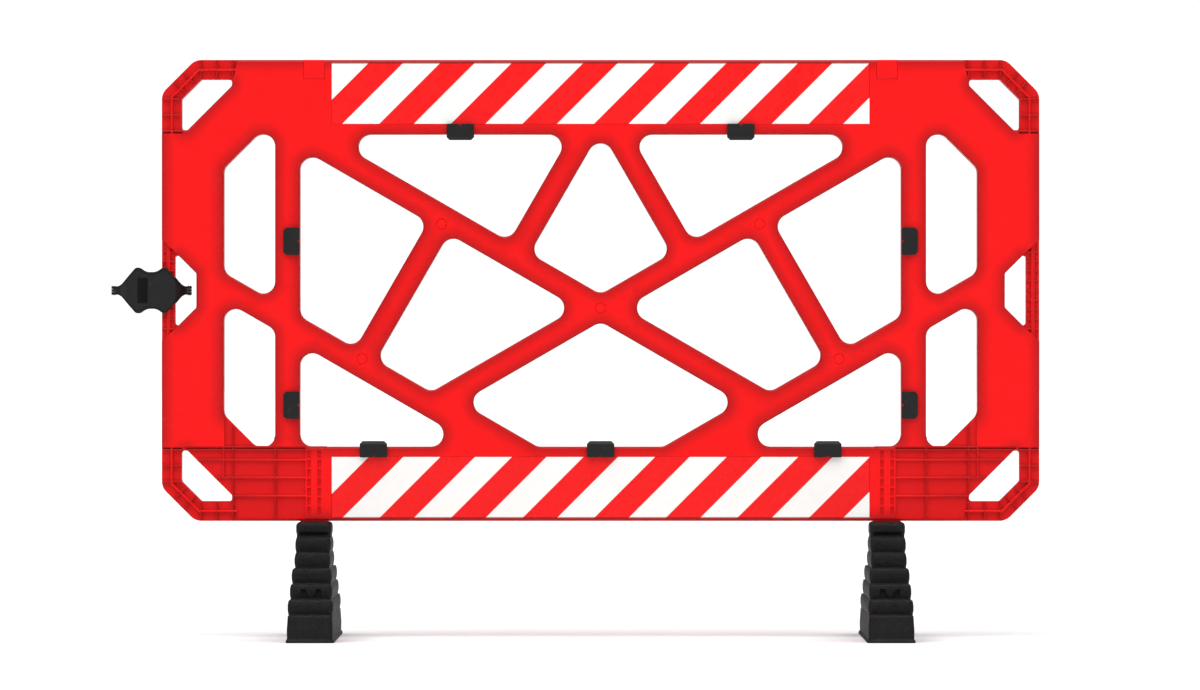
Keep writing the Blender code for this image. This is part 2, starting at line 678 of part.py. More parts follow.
def make_panel(slots):
    openings = field_openings() + slot_openings() + hand_openings()
    holes = [rounded(points, radius) for points, radius in openings]
    wide_holes = [rounded(grown(points, WALL), radius + WALL) for points, radius in openings]
    outline = panel_outline()
    panel = prisms("panel", [rounded(outline, CORNER_ROUND)], FACE, BACK, slots["panel"], helper=False)

    # The boss that each foot carries is part of the moulding.
    bosses = [
        box_outline(x - BOSS_HALF_WIDTH, x + BOSS_HALF_WIDTH, PANEL_BOTTOM - BOSS_DROP, PANEL_BOTTOM + PAST)
        for x in (-SOCKET_X, SOCKET_X)
    ]
    boolean(panel, prisms("cut_bosses", bosses, FACE + 0.002, BACK - 0.002), "UNION")

    # The hollow back, less everything that stays standing in it.
    inset = rounded(grown(outline, -WALL), CORNER_ROUND - WALL)
    hollow = prisms("cut_hollow", [inset], FACE + SKIN, BACK + PAST)
    far = BACK + 2 * PAST
    near = FACE - PAST
    boolean(hollow, prisms("keep_walls", wide_holes, near, far))
    upright, level = stiffeners()
    rib_back = BACK - BACK_RIB_RELIEF
    boolean(hollow, prisms("keep_upright_ribs", upright, near, rib_back))
    boolean(hollow, prisms("keep_level_ribs", level, near, rib_back))
    socket_top = PANEL_BOTTOM + SOCKET_DEPTH + SOCKET_ROOF
    housings = [
        box_outline(x - SOCKET_HALF_WIDTH, x + SOCKET_HALF_WIDTH, PANEL_BOTTOM - PAST, socket_top)
        for x in (-SOCKET_X, SOCKET_X)
    ]
    boolean(hollow, prisms("keep_sockets", housings, near, far))
    ladder_backs = [
        box_outline(x - SOCKET_HALF_WIDTH, x + SOCKET_HALF_WIDTH, socket_top - PAST, FIELD_BOTTOM)
        for x in (-SOCKET_X, SOCKET_X)
    ]
    boolean(hollow, prisms("keep_ladder_backs", ladder_backs, near, FACE + LADDER_POCKET + SKIN))
    cap_backs = [grown(cap_outline(side), WALL) for side in (-1, 1)]
    boolean(hollow, prisms("keep_cap_backs", cap_backs, near, FACE + CAP_DEPTH + SKIN))
    hand = hand_recess()
    hand_floor = FACE + HAND_RECESS
    boolean(hollow, prisms("keep_hand_floors", four_corners(grown(hand, WALL)), near, hand_floor + SKIN))
    low = low_recess()
    low_pair = [low, mirrored(low)]
    low_floor = FACE + LOW_RECESS
    low_backs = [grown(points, WALL) for points in low_pair]
    boolean(hollow, prisms("keep_low_floors", low_backs, near, low_floor + SKIN))
    side = side_recess()
    side_floor = -SIDE_BAR_HALF_DEPTH + LOW_RECESS
    side_back = side_recess(WALL)
    side_backs = [side_back, mirrored(side_back)]
    boolean(hollow, prisms("keep_side_floors", side_backs, near, side_floor + SKIN))
    boolean(panel, hollow)

    # Front recesses, each less its ribs.
    hand_cut = prisms("cut_hand_fronts", four_corners(hand), near, hand_floor)
    hand_keep = [rib for points in hand_ribs() for rib in four_corners(points)]
    boolean(hand_cut, prisms("keep_hand_ribs", hand_keep, near - PAST, hand_floor + PAST), use_self=True)
    boolean(panel, hand_cut)
    low_cut = prisms("cut_low_fronts", low_pair, near, low_floor)
    low_keep = [rib for points in low_ribs() for rib in (points, mirrored(points))]
    boolean(low_cut, prisms("keep_low_ribs", low_keep, near - PAST, low_floor + PAST), use_self=True)
    boolean(panel, low_cut)
    side_pair = [side, mirrored(side)]
    boolean(panel, prisms("cut_side_backs", side_pair, SIDE_BAR_HALF_DEPTH, far))
    side_cut = prisms("cut_side_fronts", side_pair, near, side_floor)
    side_keep = [rib for points in side_ribs() for rib in (points, mirrored(points))]
    side_ribs_solid = prisms("keep_side_ribs", side_keep, -SIDE_BAR_HALF_DEPTH, side_floor + PAST)
    boolean(side_cut, side_ribs_solid, use_self=True)
    boolean(panel, side_cut)
    pockets = [shape for points in ladder_pockets() for shape in (points, mirrored(points))]
    boolean(panel, prisms("cut_ladders", pockets, near, FACE + LADDER_POCKET))

    # Openings last, so that they also trim what the recesses left.
    boolean(panel, prisms("cut_openings", holes, near, far))

    sheets = [grown(sheet_outline(upper), 2 * FIT) for upper in (True, False)]
    boolean(panel, prisms("cut_sheets", sheets, near, FACE + SHEET_RECESS))
    caps = [grown(cap_outline(side), FIT) for side in (-1, 1)]
    boolean(panel, prisms("cut_caps", caps, near, FACE + CAP_DEPTH))
    stems = [
        [
            (x + (STEM_RADIUS + FIT) * math.cos(t), z + (STEM_RADIUS + FIT) * math.sin(t))
            for t in (math.tau * (k + 0.5) / 12 for k in range(12))
        ]
        for _, x, z, _ in retainer_places()
    ]
    boolean(panel, prisms("cut_stems", stems, near, FACE + 3 * SKIN))
    for name, sign in (("left", -1), ("right", 1)):
        bore = turned(
            f"cut_bore_{name}",
            [
                (SOCKET_BORE, PANEL_BOTTOM - 2 * PAST),
                (SOCKET_BORE, PANEL_BOTTOM + SOCKET_DEPTH),
                (POST_STUB + 2 * FIT, PANEL_BOTTOM + SOCKET_DEPTH),
                (POST_STUB + 2 * FIT, socket_top + PAST),
            ],
            (PANEL_X + sign * SOCKET_X, 0, 0),
            helper=True,
        )
        boolean(panel, bore)


def make_sheets(slots):
    back = FACE + SHEET_RECESS - FIT
    for name, upper in (("upper_striped_sheet", True), ("lower_striped_sheet", False)):
        outline = [sheet_outline(upper)]
        prisms(name, outline, back - SHEET_THICK, back, slots["sheet"], helper=False)


def make_caps(slots):
    for name, side in (("left_lamp_socket_cap", -1), ("right_lamp_socket_cap", 1)):
        front, back = FACE - CAP_PROUD, FACE + CAP_DEPTH - FIT
        prisms(name, [cap_outline(side)], front, back, slots["panel"], helper=False)


# ---------------------------------------------------------------- retainers


def retainer_outline():
    """The plate seen from the front about its stem, lip side down, with its two lip corners cut."""
    half, cut, notch = RETAINER_LENGTH / 2, RETAINER_CUT, RETAINER_NOTCH_HALF
    lip, rear = -(STEM_INSET + RETAINER_REACH_IN), RETAINER_REACH_OUT - STEM_INSET
    return [
        (-half + cut, lip),
        (half - cut, lip),
        (half, lip + cut),
        (half, rear),
        (notch, rear),
        (notch, rear - RETAINER_NOTCH_DEPTH),
        (-notch, rear - RETAINER_NOTCH_DEPTH),
        (-notch, rear),
        (-half, rear),
        (-half, lip + cut),
    ]


def make_retainer(name, x, z, angle, slots):
    """Plate, hub and stem in one moulding, with its origin on the stem's axis at the panel's face."""
    near, far = -RETAINER_STANDOFF - RETAINER_PLATE, -RETAINER_STANDOFF
    bm = bmesh.new()
    extruded(bm, retainer_outline(), near, far, lambda u, v, depth: (u, depth, v))
    plate = add_object(name, finish_mesh(name, bm), slots["black"])
    stem = turned(
        f"add_stem_{name}",
        [
            (2 * STEM_RADIUS, -RETAINER_STANDOFF - 0.002),
            (2 * STEM_RADIUS, -FIT),
            (STEM_RADIUS, -FIT),
            (STEM_RADIUS, SKIN + STEM_TAIL),
        ],
        (0, 0, 0),
        helper=True,
        sides=12,
        along="Y",
    )
    boolean(plate, stem, "UNION")
    turn = Matrix.Rotation(-angle, 4, "Y")
    place = Matrix.Translation((PANEL_X + x, FACE, z)) @ turn
    plate.matrix_world = place
    stem.matrix_world = place
    tube(
        name.replace("retainer", "push_washer"),
        STEM_RADIUS + FIT,
        PUSH_WASHER_RADIUS,
        SKIN + FIT,
        SKIN + FIT + PUSH_WASHER_THICK,
        (PANEL_X + x, FACE, z),
        slots["steel"],
        along="Y",
        sides=12,
    )


# ---------------------------------------------------------------- link
# Positions here are from the link's own middle. Its objects sit on the axis of the bar it swings on.


def link_front_outline():
    """The link seen from the front: two shoulders, a waist between them and a narrow tip at each end."""
    right = [
        (LINK_TIP + PAST, LINK_TIP_HALF),
        (LINK_TIP - 0.012, LINK_TIP_HALF),
        (LINK_TIP - 0.018, LINK_TIP_HALF + 0.0035),
        (LINK_PEAK_X + 0.0045, LINK_PEAK),
        (LINK_PEAK_X - 0.0005, LINK_PEAK),
        (LINK_PEAK_X * 0.62, LINK_WAIST + 0.0030),
        (LINK_PEAK_X * 0.33, LINK_WAIST + 0.0004),
    ]
    upper = right + [(-x, z) for x, z in reversed(right)]
    return upper + [(x, -z) for x, z in reversed(upper)]


def link_shell_plan():
    """The front shell's outline in plan: a flat front that slopes back to a neck at each tip."""
    half = [(LINK_TIP - LINK_KNUCKLE, -LINK_PARTING), (LINK_TIP - LINK_KNUCKLE, -0.0035)]
    half += [(0.0575, -0.0048), (0.041, -LINK_HALF_DEPTH)]
    return half + [(-x, y) for x, y in reversed(half)]


def link_cavity_plan(side):
    """The space in the front shell for one of the two bars."""
    depth = LINK_HALF_DEPTH - LINK_WALL
    inner, outer = LINK_BAR_SPACE
    points = [(inner, PAST), (inner, -depth), (outer, -depth)]
    points += [(LINK_NECK_X, -LINK_KNUCKLE), (LINK_NECK_X, PAST)]
    return [(side * x, y) for x, y in points]


def link_block(name, outline, half_height, slot=None):
    """An upright prism from an outline in plan about the link's middle."""
    bm = bmesh.new()
    shift = -LINK_AXIS_GAP / 2
    extruded(bm, outline, -half_height, half_height, lambda x, y, z: (x + shift, y, z))
    made = add_object(name, finish_mesh(name, bm), slot, helper=slot is None)
    made.location = (LINK_AXIS_X, 0, PANEL_MID)
    return made


def link_round(name, radius, low, high, tip, sides=16):
    """An upright round cutter or boss at one tip, from low to high about the panel's middle height."""
    centre = (LINK_AXIS_X - LINK_AXIS_GAP / 2 + tip * (LINK_TIP - LINK_KNUCKLE), 0, PANEL_MID)
    return turned(name, [(radius, low), (radius, high)], centre, helper=True, sides=sides)


def make_link_shell(name, facing, slots):
    """One half of the link; facing is 1 for the front shell, and -1 for the back one."""
    shell = link_block(name, [(x, y * facing) for x, y in link_shell_plan()], 0.05, slots["black"])
    bm = bmesh.new()
    shift = -LINK_AXIS_GAP / 2
    extruded(bm, link_front_outline(), -0.06, 0.06, lambda x, z, y: (x + shift, y, z))
    silhouette = add_object(f"keep_{name}", finish_mesh(f"keep_{name}", bm), helper=True)
    silhouette.location = (LINK_AXIS_X, 0, PANEL_MID)
    boolean(shell, silhouette, "INTERSECT")
    for side in (-1, 1):
        plan = [(x, y * facing) for x, y in link_cavity_plan(side)]
        boolean(shell, link_block(f"cut_{name}_{side}", plan, 0.06))
    front = facing == 1
    if front:
        window = box_outline(*LINK_WINDOW, -0.04, -0.01)
        boolean(shell, link_block("cut_link_window", window, LINK_WINDOW_HALF_HEIGHT))
    clear = LINK_KNUCKLE + 2 * FIT
    split, end = LINK_SPLIT, LINK_TIP_HALF + 0.0004
    reach = split - FIT if front else end
    gaps = ((split, 2 * end), (-2 * end, -split)) if front else ((-split, split),)
    for tip in (-1, 1):
        boolean(shell, link_round(f"add_{name}_{tip}", LINK_KNUCKLE, -reach, reach, tip), "UNION")
        for low, high in gaps:
            boolean(shell, link_round(f"cut_{name}_{tip}_{low}", clear, low, high, tip))
        boolean(shell, link_round(f"cut_{name}_pin_{tip}", LINK_PIN + FIT, -2 * end, 2 * end, tip, 12))


def make_link_pin(name, tip, slots):
    """The headed pin that joins the two shells at one tip."""
    head = LINK_TIP_HALF + 0.0004 + FIT
    rim, crown = LINK_PIN + 0.0015, 0.0008
    profile = [(rim - 0.0005, -head - crown), (rim, -head), (LINK_PIN, -head)]
    profile += [(radius, -height) for radius, height in reversed(profile)]
    centre = (LINK_AXIS_X - LINK_AXIS_GAP / 2 + tip * (LINK_TIP - LINK_KNUCKLE), 0, PANEL_MID)
    turned(name, profile, centre, slots["steel"], sides=12)


def make_link(slots):
    make_link_shell("link_front_shell", 1, slots)
    make_link_shell("link_back_shell", -1, slots)
    make_link_pin("link_outer_pin", -1, slots)
    make_link_pin("link_inner_pin", 1, slots)


# ---------------------------------------------------------------- feet


def foot_layers():
    """(half length, half width, height) up the foot: a stack of steps with bulged sides."""
    end, base, side = FOOT_LENGTH / 2, FOOT_BASE_HALF_WIDTH, FOOT_END_HALF_WIDTH
    layers = [(end, base, 0.0), (end, base, 0.004), (end - 0.003, side - 0.0005, 0.006)]
    layers += [(end - 0.003, side, 0.020), (end - 0.006, side - 0.0015, FOOT_END_TOP)]
    block, width = FOOT_BLOCK_HALF, FOOT_TOP_HALF_WIDTH
    steps = len(FOOT_STEP_HALF_WIDTHS)
    rise = (FOOT_BLOCK_BOTTOM - FOOT_END_TOP) / steps
    run = (end - FOOT_STEP_SETBACK - block) / steps
    for k, half_width in enumerate(FOOT_STEP_HALF_WIDTHS):
        low = FOOT_END_TOP + rise * k
        half_length = end - FOOT_STEP_SETBACK - run * k
        layers.append((half_length - 0.002, half_width - FOOT_BULGE, low + 0.0008))
        layers.append((half_length, half_width, low + rise * 0.35))
        layers.append((half_length, half_width, low + rise * 0.65))
        layers.append((half_length - 0.003, half_width - FOOT_BULGE, low + rise))
    return layers + [
        (block - 0.004, width - 0.0010, FOOT_BLOCK_BOTTOM + 0.0008),
        (block - 0.004, width - 0.0010, FOOT_BLOCK_BOTTOM + 0.006),
        (block, width, FOOT_BLOCK_BOTTOM + 0.010),
        (block, width, FOOT_TOP - 0.006),
        (block - 0.002, width - 0.0018, FOOT_TOP - 0.0018),
        (block - 0.006, width - 0.0060, FOOT_TOP),
    ]


def foot_ring(half_length, half_width, cut):
    return [
        (-half_width + cut, -half_length),
        (half_width - cut, -half_length),
        (half_width, -half_length + cut),
        (half_width, half_length - cut),
        (half_width - cut, half_length),
        (-half_width + cut, half_length),
        (-half_width, half_length - cut),
        (-half_width, -half_length + cut),
    ]


def make_foot(name, sign, slots):
    """A foot, its post, ring, bolt and washer, all about the post's upright axis."""
    axis = (PANEL_X + sign * SOCKET_X, 0, 0)
    bm = bmesh.new()
    rings = [
        [bm.verts.new((x, y, height)) for x, y in foot_ring(length, width, FOOT_CORNER)]
        for length, width, height in foot_layers()
    ]
    bm.faces.new(rings[0])
    bm.faces.new(rings[-1])
    for lower, upper in zip(rings, rings[1:]):
        for k in range(8):
            j = (k + 1) % 8
            bm.faces.new((lower[k], lower[j], upper[j], upper[k]))
    foot = add_object(f"{name}_foot", finish_mesh(f"{name}_foot", bm), slots["rubber"])
    foot.location = axis
    bore = turned(
        f"cut_{name}_foot",
        [
            (BOLT_COUNTERBORE, -PAST),
            (BOLT_COUNTERBORE, BOLT_COUNTERBORE_DEPTH),
            (BOLT_RADIUS + FIT, BOLT_COUNTERBORE_DEPTH),
            (BOLT_RADIUS + FIT, POST_BOTTOM),
            (POST_RADIUS_LOW + FIT, POST_BOTTOM),
            (POST_RADIUS_LOW + FIT, FOOT_TOP + PAST),
        ],
        axis,
        helper=True,
    )
    boolean(foot, bore)

    roof = PANEL_BOTTOM + SOCKET_DEPTH
    ring_low = roof + SOCKET_ROOF + FIT
    groove_low, groove_high = ring_low - FIT, ring_low + RING_THICK + FIT
    bolt_tip = POST_BOTTOM + BOLT_GRIP
    turned(
        f"{name}_post",
        [
            (BOLT_RADIUS + FIT, bolt_tip + 0.002),
            (BOLT_RADIUS + FIT, POST_BOTTOM + FIT),
            (POST_RADIUS_LOW, POST_BOTTOM + FIT),
            (POST_RADIUS_LOW, FOOT_TOP - 0.002),
            (POST_RADIUS_HIGH, FOOT_TOP - 0.001),
            (POST_RADIUS_HIGH, roof - 0.002),
            (POST_RADIUS_HIGH - 0.001, roof - FIT),
            (POST_STUB, roof - FIT),
            (POST_STUB, groove_low),
            (POST_GROOVE, groove_low),
            (POST_GROOVE, groove_high),
            (POST_STUB, groove_high),
            (POST_STUB, groove_high + 0.003),
            (POST_STUB - 0.002, groove_high + 0.005),
        ],
        axis,
        slots["black"],
    )
    tube(
        f"{name}_post_ring",
        POST_GROOVE + FIT,
        RING_RADIUS,
        ring_low,
        ring_low + RING_THICK,
        axis,
        slots["steel"],
        gap_deg=50,
    )
    washer_top = BOLT_COUNTERBORE_DEPTH - FIT
    washer_low = washer_top - BOLT_WASHER_THICK
    inner, outer = BOLT_RADIUS + FIT, BOLT_WASHER_RADIUS
    tube(f"{name}_bolt_washer", inner, outer, washer_low, washer_top, axis, slots["steel"])
    head_top = washer_low - FIT
    head_low = head_top - BOLT_HEAD_HEIGHT
    corners = (math.tau * k / 6 for k in range(6))
    hexagon = [(BOLT_HEAD * math.cos(t), BOLT_HEAD * math.sin(t)) for t in corners]
    bolt = column(f"{name}_post_bolt", hexagon, head_low, head_top, axis, slots["steel"], helper=False)
    shank = turned(
        f"add_{name}_shank",
        [(BOLT_RADIUS, head_low + 0.002), (BOLT_RADIUS, bolt_tip - 0.001), (BOLT_RADIUS - 0.001, bolt_tip)],
        axis,
        helper=True,
    )
    boolean(bolt, shank, "UNION")


def main():
    clear_scene()
    slots = make_materials()
    make_panel(slots)
    make_sheets(slots)
    make_caps(slots)
    for name, x, z, angle in retainer_places():
        make_retainer(name, x, z, angle, slots)
    make_link(slots)
    make_foot("left", -1, slots)
    make_foot("right", 1, slots)


main()
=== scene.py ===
"""Finished surfaces of a moulded plastic works barrier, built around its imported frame.

Laid out as a Blender add-on: one operator for each piece or group of like pieces, one for the stage,
and one panel in the sidebar. Metres, +Z up; the striped face looks to -Y.
"""

import math

import bmesh
import bpy
import numpy as np
from bpy.props import FloatProperty, FloatVectorProperty, IntProperty, PointerProperty
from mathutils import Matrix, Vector
from mathutils.geometry import delaunay_2d_cdt


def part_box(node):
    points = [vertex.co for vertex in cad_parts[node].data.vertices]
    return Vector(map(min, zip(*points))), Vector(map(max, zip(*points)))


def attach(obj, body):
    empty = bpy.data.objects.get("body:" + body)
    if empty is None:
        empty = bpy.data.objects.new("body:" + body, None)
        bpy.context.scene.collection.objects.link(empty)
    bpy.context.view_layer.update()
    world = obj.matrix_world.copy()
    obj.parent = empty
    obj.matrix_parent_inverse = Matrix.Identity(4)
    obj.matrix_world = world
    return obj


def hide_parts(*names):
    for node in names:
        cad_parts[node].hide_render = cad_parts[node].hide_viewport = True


bl_info = {
    "name": "Works Barrier",
    "version": (1, 0, 0),
    "blender": (4, 5, 0),
    "location": "View3D > Sidebar > Barrier",
    "description": "Builds the finished surfaces of a moulded plastic works barrier around its frame",
    "category": "Add Mesh",
}

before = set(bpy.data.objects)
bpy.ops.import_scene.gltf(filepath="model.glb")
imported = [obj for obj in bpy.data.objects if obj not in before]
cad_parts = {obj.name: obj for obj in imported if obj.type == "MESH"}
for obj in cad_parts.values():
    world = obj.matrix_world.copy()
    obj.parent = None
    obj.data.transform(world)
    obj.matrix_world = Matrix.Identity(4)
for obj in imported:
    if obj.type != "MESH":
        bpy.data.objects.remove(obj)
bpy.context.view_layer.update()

# ---------------------------------------------------------------- places read from the frame

PANEL_LOW, PANEL_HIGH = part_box("panel")
UPPER_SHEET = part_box("upper_striped_sheet")
LOWER_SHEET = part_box("lower_striped_sheet")
FOOT_BOXES = {side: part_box(f"{side}_foot") for side in ("left", "right")}
CAP_BOXES = {side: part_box(f"{side}_lamp_socket_cap") for side in ("left", "right")}
OUTER_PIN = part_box("link_outer_pin")
INNER_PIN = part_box("link_inner_pin")

HALF = (PANEL_HIGH.x - PANEL_LOW.x) / 2
PANEL_X = (PANEL_HIGH.x + PANEL_LOW.x) / 2
TOP = PANEL_HIGH.z
FACE = PANEL_LOW.y
BACK = PANEL_HIGH.y
SOCKET_X = (FOOT_BOXES["right"][0].x + FOOT_BOXES["right"][1].x) / 2 - PANEL_X
BOSS_LOW = PANEL_LOW.z


# ---------------------------------------------------------------- settings


def size(name, description, default):
    return FloatProperty(
        name=name, description=description, default=default, min=0.0, subtype="DISTANCE", unit="LENGTH"
    )


def colour(name, description, default):
    return FloatVectorProperty(
        name=name, description=description, default=default, size=3, min=0.0, max=1.0, subtype="COLOR"
    )


def factor(name, description, default):
    return FloatProperty(
        name=name, description=description, default=default, min=0.0, max=1.0, subtype="FACTOR"
    )


class BarrierPanelSettings(bpy.types.PropertyGroup):
    height: size("Height", "Height of the moulding without its foot bosses", 0.788)
    skin: size("Skin", "Thickness of the front skin", 0.003)
    wall: size("Wall", "Thickness of the walls round the edge and the openings", 0.003)
    rib: size("Rib", "Thickness of the ribs", 0.003)
    edge_lip: size("Edge lip", "Radius where the face turns into the outer wall", 0.0050)
    opening_lip: size("Opening lip", "Radius where the face turns into an opening", 0.0040)
    corner_cut: size("Corner cut", "How much each outer corner is cut off", 0.057)
    corner_round: size("Corner round", "Radius of the outer corners", 0.026)
    member_width: size("Member width", "Width of the struts in the middle field", 0.041)
    hub_height: size("Hub height", "Height at which the two long struts cross", 0.565)
    field_half: size("Field half width", "Half width of the middle field", 0.514)
    field_top: size("Field top", "Height of the middle field's upper edge", 0.8616)
    field_bottom: size("Field bottom", "Height of the middle field's lower edge", 0.3278)
    field_round: size("Field round", "Corner radius of the middle field's openings", 0.0215)
    slot_round: size("Slot round", "Corner radius of the side slots", 0.0205)
    hand_band: size("Hand band", "Width of the corner hand bars", 0.0335)
    hand_recess: size("Hand recess", "How far a corner hand bar's floor is stepped back", 0.008)
    low_recess: size("Low recess", "How far the ribbed fields beside the feet are stepped back", 0.006)
    red: colour("Red", "Colour of the moulded plastic", (0.87, 0.0016, 0.0026))
    roughness: factor("Roughness", "Roughness of the moulded face", 0.42)


class BarrierSheetSettings(bpy.types.PropertyGroup):
    stripe: size("Stripe", "Length along the sheet of one white and one red stripe", 0.1223)
    white_share: factor("White share", "Part of each stripe that is white", 0.520)
    white: colour("White", "Colour of the white stripes", (0.90, 0.89, 0.87))
    red: colour("Red", "Colour of the red stripes", (0.87, 0.0018, 0.0028))
    # Painted shade: width of the darker line along both edges of every red stripe.
    stripe_shade_line: size("Ink edge", "Width of the darker line where red ink starts", 0.0012)


class BarrierRubberSettings(bpy.types.PropertyGroup):
    length: size("Length", "Length of a foot across the panel", 0.500)
    steps: IntProperty(name="Steps", description="Steps up each end of a foot", default=5, min=1, max=9)
    end_height: size("End height", "Height of a foot's end", 0.045)
    block_half: size("Block half length", "Half length of the block under the panel", 0.046)
    colour: colour("Colour", "Colour of the rubber", (0.0062, 0.0060, 0.0066))


class BarrierFittingSettings(bpy.types.PropertyGroup):
    nylon: colour("Nylon", "Colour of the link and the retainers", (0.0070, 0.0070, 0.0078))
    zinc: colour("Zinc", "Colour of the plated steel fasteners", (0.62, 0.63, 0.64))
    link_rim: size("Link rim", "Width of the rim round the link's front plate", 0.0034)
    retainer_round: size("Retainer round", "Edge radius of a retainer's plate", 0.0009)


class BarrierStageSettings(bpy.types.PropertyGroup):
    distance: size("Distance", "From the camera to the panel's face", 14.7)
    eye_height: size("Eye height", "Height of the camera above the ground", 0.5017)
    lens: FloatProperty(name="Lens", description="Focal length", default=258.1, min=1.0, unit="CAMERA")
    key: FloatProperty(name="Key light", description="Strength of the main soft light", default=1.3, min=0.0)
    fill: FloatProperty(name="Fill light", description="Strength of the fill light", default=0.5, min=0.0)


SETTINGS = {
    "barrier_panel": BarrierPanelSettings,
    "barrier_sheets": BarrierSheetSettings,
    "barrier_rubber": BarrierRubberSettings,
    "barrier_fittings": BarrierFittingSettings,
    "barrier_stage": BarrierStageSettings,
}


def rgba(value):
    return (*value, 1.0)


# ---------------------------------------------------------------- outlines in the panel's plane
# An outline is an array of (x, z) corners, anticlockwise, x from the panel's middle.

ROOT = math.sqrt(0.5)
PANEL_MIDDLE = TOP - 0.788 / 2
WALL_FILLET = 0.0015  # between an inner wall and the back of the skin
RIM_ROUND = 0.0008


def clip(points, normal, limit):
    """What is left of a convex outline where normal . p <= limit."""
    kept = []
    for here, after in zip(points, points[1:] + points[:1]):
        a = normal[0] * here[0] + normal[1] * here[1] - limit
        b = normal[0] * after[0] + normal[1] * after[1] - limit
        if a <= 0:
            kept.append(here)
        if (a < 0) != (b < 0) and a != b:
            t = a / (a - b)
            kept.append((here[0] + t * (after[0] - here[0]), here[1] + t * (after[1] - here[1])))
    return kept


def region(*bounds):
    """The convex outline inside every bound, each (normal, limit)."""
    points = [(-HALF, 0.0), (HALF, 0.0), (HALF, 2 * HALF), (-HALF, 2 * HALF)]
    for normal, limit in bounds:
        points = clip(points, normal, limit)
    return points


def mirrored(points):
    return [(-x, z) for x, z in reversed(points)]


def flipped(points):
    return [(x, 2 * PANEL_MIDDLE - z) for x, z in reversed(points)]


def four_corners(points):
    return [points, mirrored(points), flipped(points), flipped(mirrored(points))]


def grown(points, distance):
    """The outline with every edge moved out by distance, corners kept sharp."""
    corners = np.array(points)
    ahead = np.roll(corners, -1, 0) - corners
    ahead /= np.linalg.norm(ahead, axis=1)[:, None]
    outward = np.stack([ahead[:, 1], -ahead[:, 0]], 1)
    before = np.roll(outward, 1, 0)
    share = 1 + (outward * before).sum(1)
    return [tuple(p) for p in corners + distance * (outward + before) / share[:, None]]


def rounded(corners, radius, steps):
    """(arc centres, outward normals) of each point of an outline with rounded corners.

    At every corner the normal turns evenly from one edge's to the next one's about the arc's centre.
    """
    corners = np.array(corners)
    back = np.roll(corners, 1, 0) - corners
    ahead = np.roll(corners, -1, 0) - corners
    back /= np.linalg.norm(back, axis=1)[:, None]
    ahead /= np.linalg.norm(ahead, axis=1)[:, None]
    middle = back + ahead
    middle /= np.linalg.norm(middle, axis=1)[:, None]
    half = 0.5 * np.arccos((back * ahead).sum(1))
    centre = corners + middle * (radius / np.sin(half))[:, None]
    first = np.arctan2(back[:, 0], -back[:, 1])
    angle = first[:, None] + (math.pi - 2 * half)[:, None] * np.linspace(0, 1, steps + 1)[None, :]
    normals = np.stack([np.cos(angle), np.sin(angle)], -1).reshape(-1, 2)
    return np.repeat(centre, steps + 1, 0), normals


def rounded_points(corners, radius, steps=8):
    centres, normals = rounded(corners, radius, steps)
    return [tuple(p) for p in centres + normals * radius]


def across(angle_deg):
    angle = math.radians(angle_deg)
    return (-math.sin(angle), math.cos(angle))


def member_side(s, angle_deg, offset, above, half_width=None):
    """The bound that keeps an opening above or below a strut set off from the hub."""
    half_width = s.member_width / 2 if half_width is None else half_width
    normal = across(angle_deg)
    centre = normal[1] * s.hub_height + offset
    if above:
        return ((-normal[0], -normal[1]), -(centre + half_width))
    return (normal, centre - half_width)


INNER_STRUT = 0.172
OUTER_STRUT = 0.3085
LOWER_STRUT = -0.290
LOWER_GUSSET = -0.2593


def field_openings(s):
    """The ten openings of the middle field."""
    top, bottom, side = ((0, 1), s.field_top), ((0, -1), -s.field_bottom), ((-1, 0), s.field_half)
    falling_above = member_side(s, -30, 0, True)
    falling_below = member_side(s, -30, 0, False)
    rising_above = member_side(s, 30, 0, True)
    rising_below = member_side(s, 30, 0, False)
    outer_above = member_side(s, 60, OUTER_STRUT, True)
    outer_below = member_side(s, 60, OUTER_STRUT, False)
    lower_above = member_side(s, -30, LOWER_STRUT, True)
    left_half = (
        region(falling_above, member_side(s, 60, INNER_STRUT, True), top),
        region(side, falling_below, outer_above, lower_above),
        region(falling_below, rising_above, outer_below, lower_above),
        region(side, bottom, member_side(s, -30, LOWER_STRUT, False)),
    )
    inner_sides = [member_side(s, angle, INNER_STRUT, False) for angle in (60, -60)]
    gussets = [member_side(s, -30, LOWER_GUSSET, True, 0), member_side(s, 30, LOWER_GUSSET, True, 0)]
    middle = (
        region(falling_above, rising_above, *inner_sides),
        region(falling_below, rising_below, *gussets, bottom),
    )
    return [*left_half, *(mirrored(points) for points in left_half), *middle]


SLOT_OUTER = 0.6443
SLOT_INNER = 0.5563
SLOT_ARM = (-0.599, 0.5757)
SLOT_TOP_CUT = 1.4475
SLOT_LOW_CUT = 0.2622


def slot_openings(s):
    """The two tall slots at each side."""
    sides = (((-1, 0), SLOT_OUTER), ((1, 0), -SLOT_INNER))
    normal = across(-30)
    arm = normal[0] * SLOT_ARM[0] + normal[1] * SLOT_ARM[1]
    half = s.member_width / 2
    upper = region(
        *sides,
        ((0, 1), s.field_top),
        ((-ROOT, ROOT), ROOT * SLOT_TOP_CUT),
        ((-normal[0], -normal[1]), -(arm + half)),
    )
    lower = region(
        *sides,
        ((0, -1), -s.field_bottom),
        ((-ROOT, -ROOT), ROOT * SLOT_LOW_CUT),
        (normal, arm - half),
    )
    return [points for one in (upper, lower) for points in (one, mirrored(one))]


HAND_REACH = 0.120
HAND_INNER_CUT = 0.164
HAND_ROUND = 0.0055
SIDE_HOLE_ROUND = 0.0045
SIDE_BAR_WIDTH = 0.0222
SIDE_BAR_HALF_DEPTH = 0.017
SIDE_HOLE_REACH = 0.0591
SIDE_HOLE_HALF = 0.0593
SIDE_HOLE_CUT = 0.0882


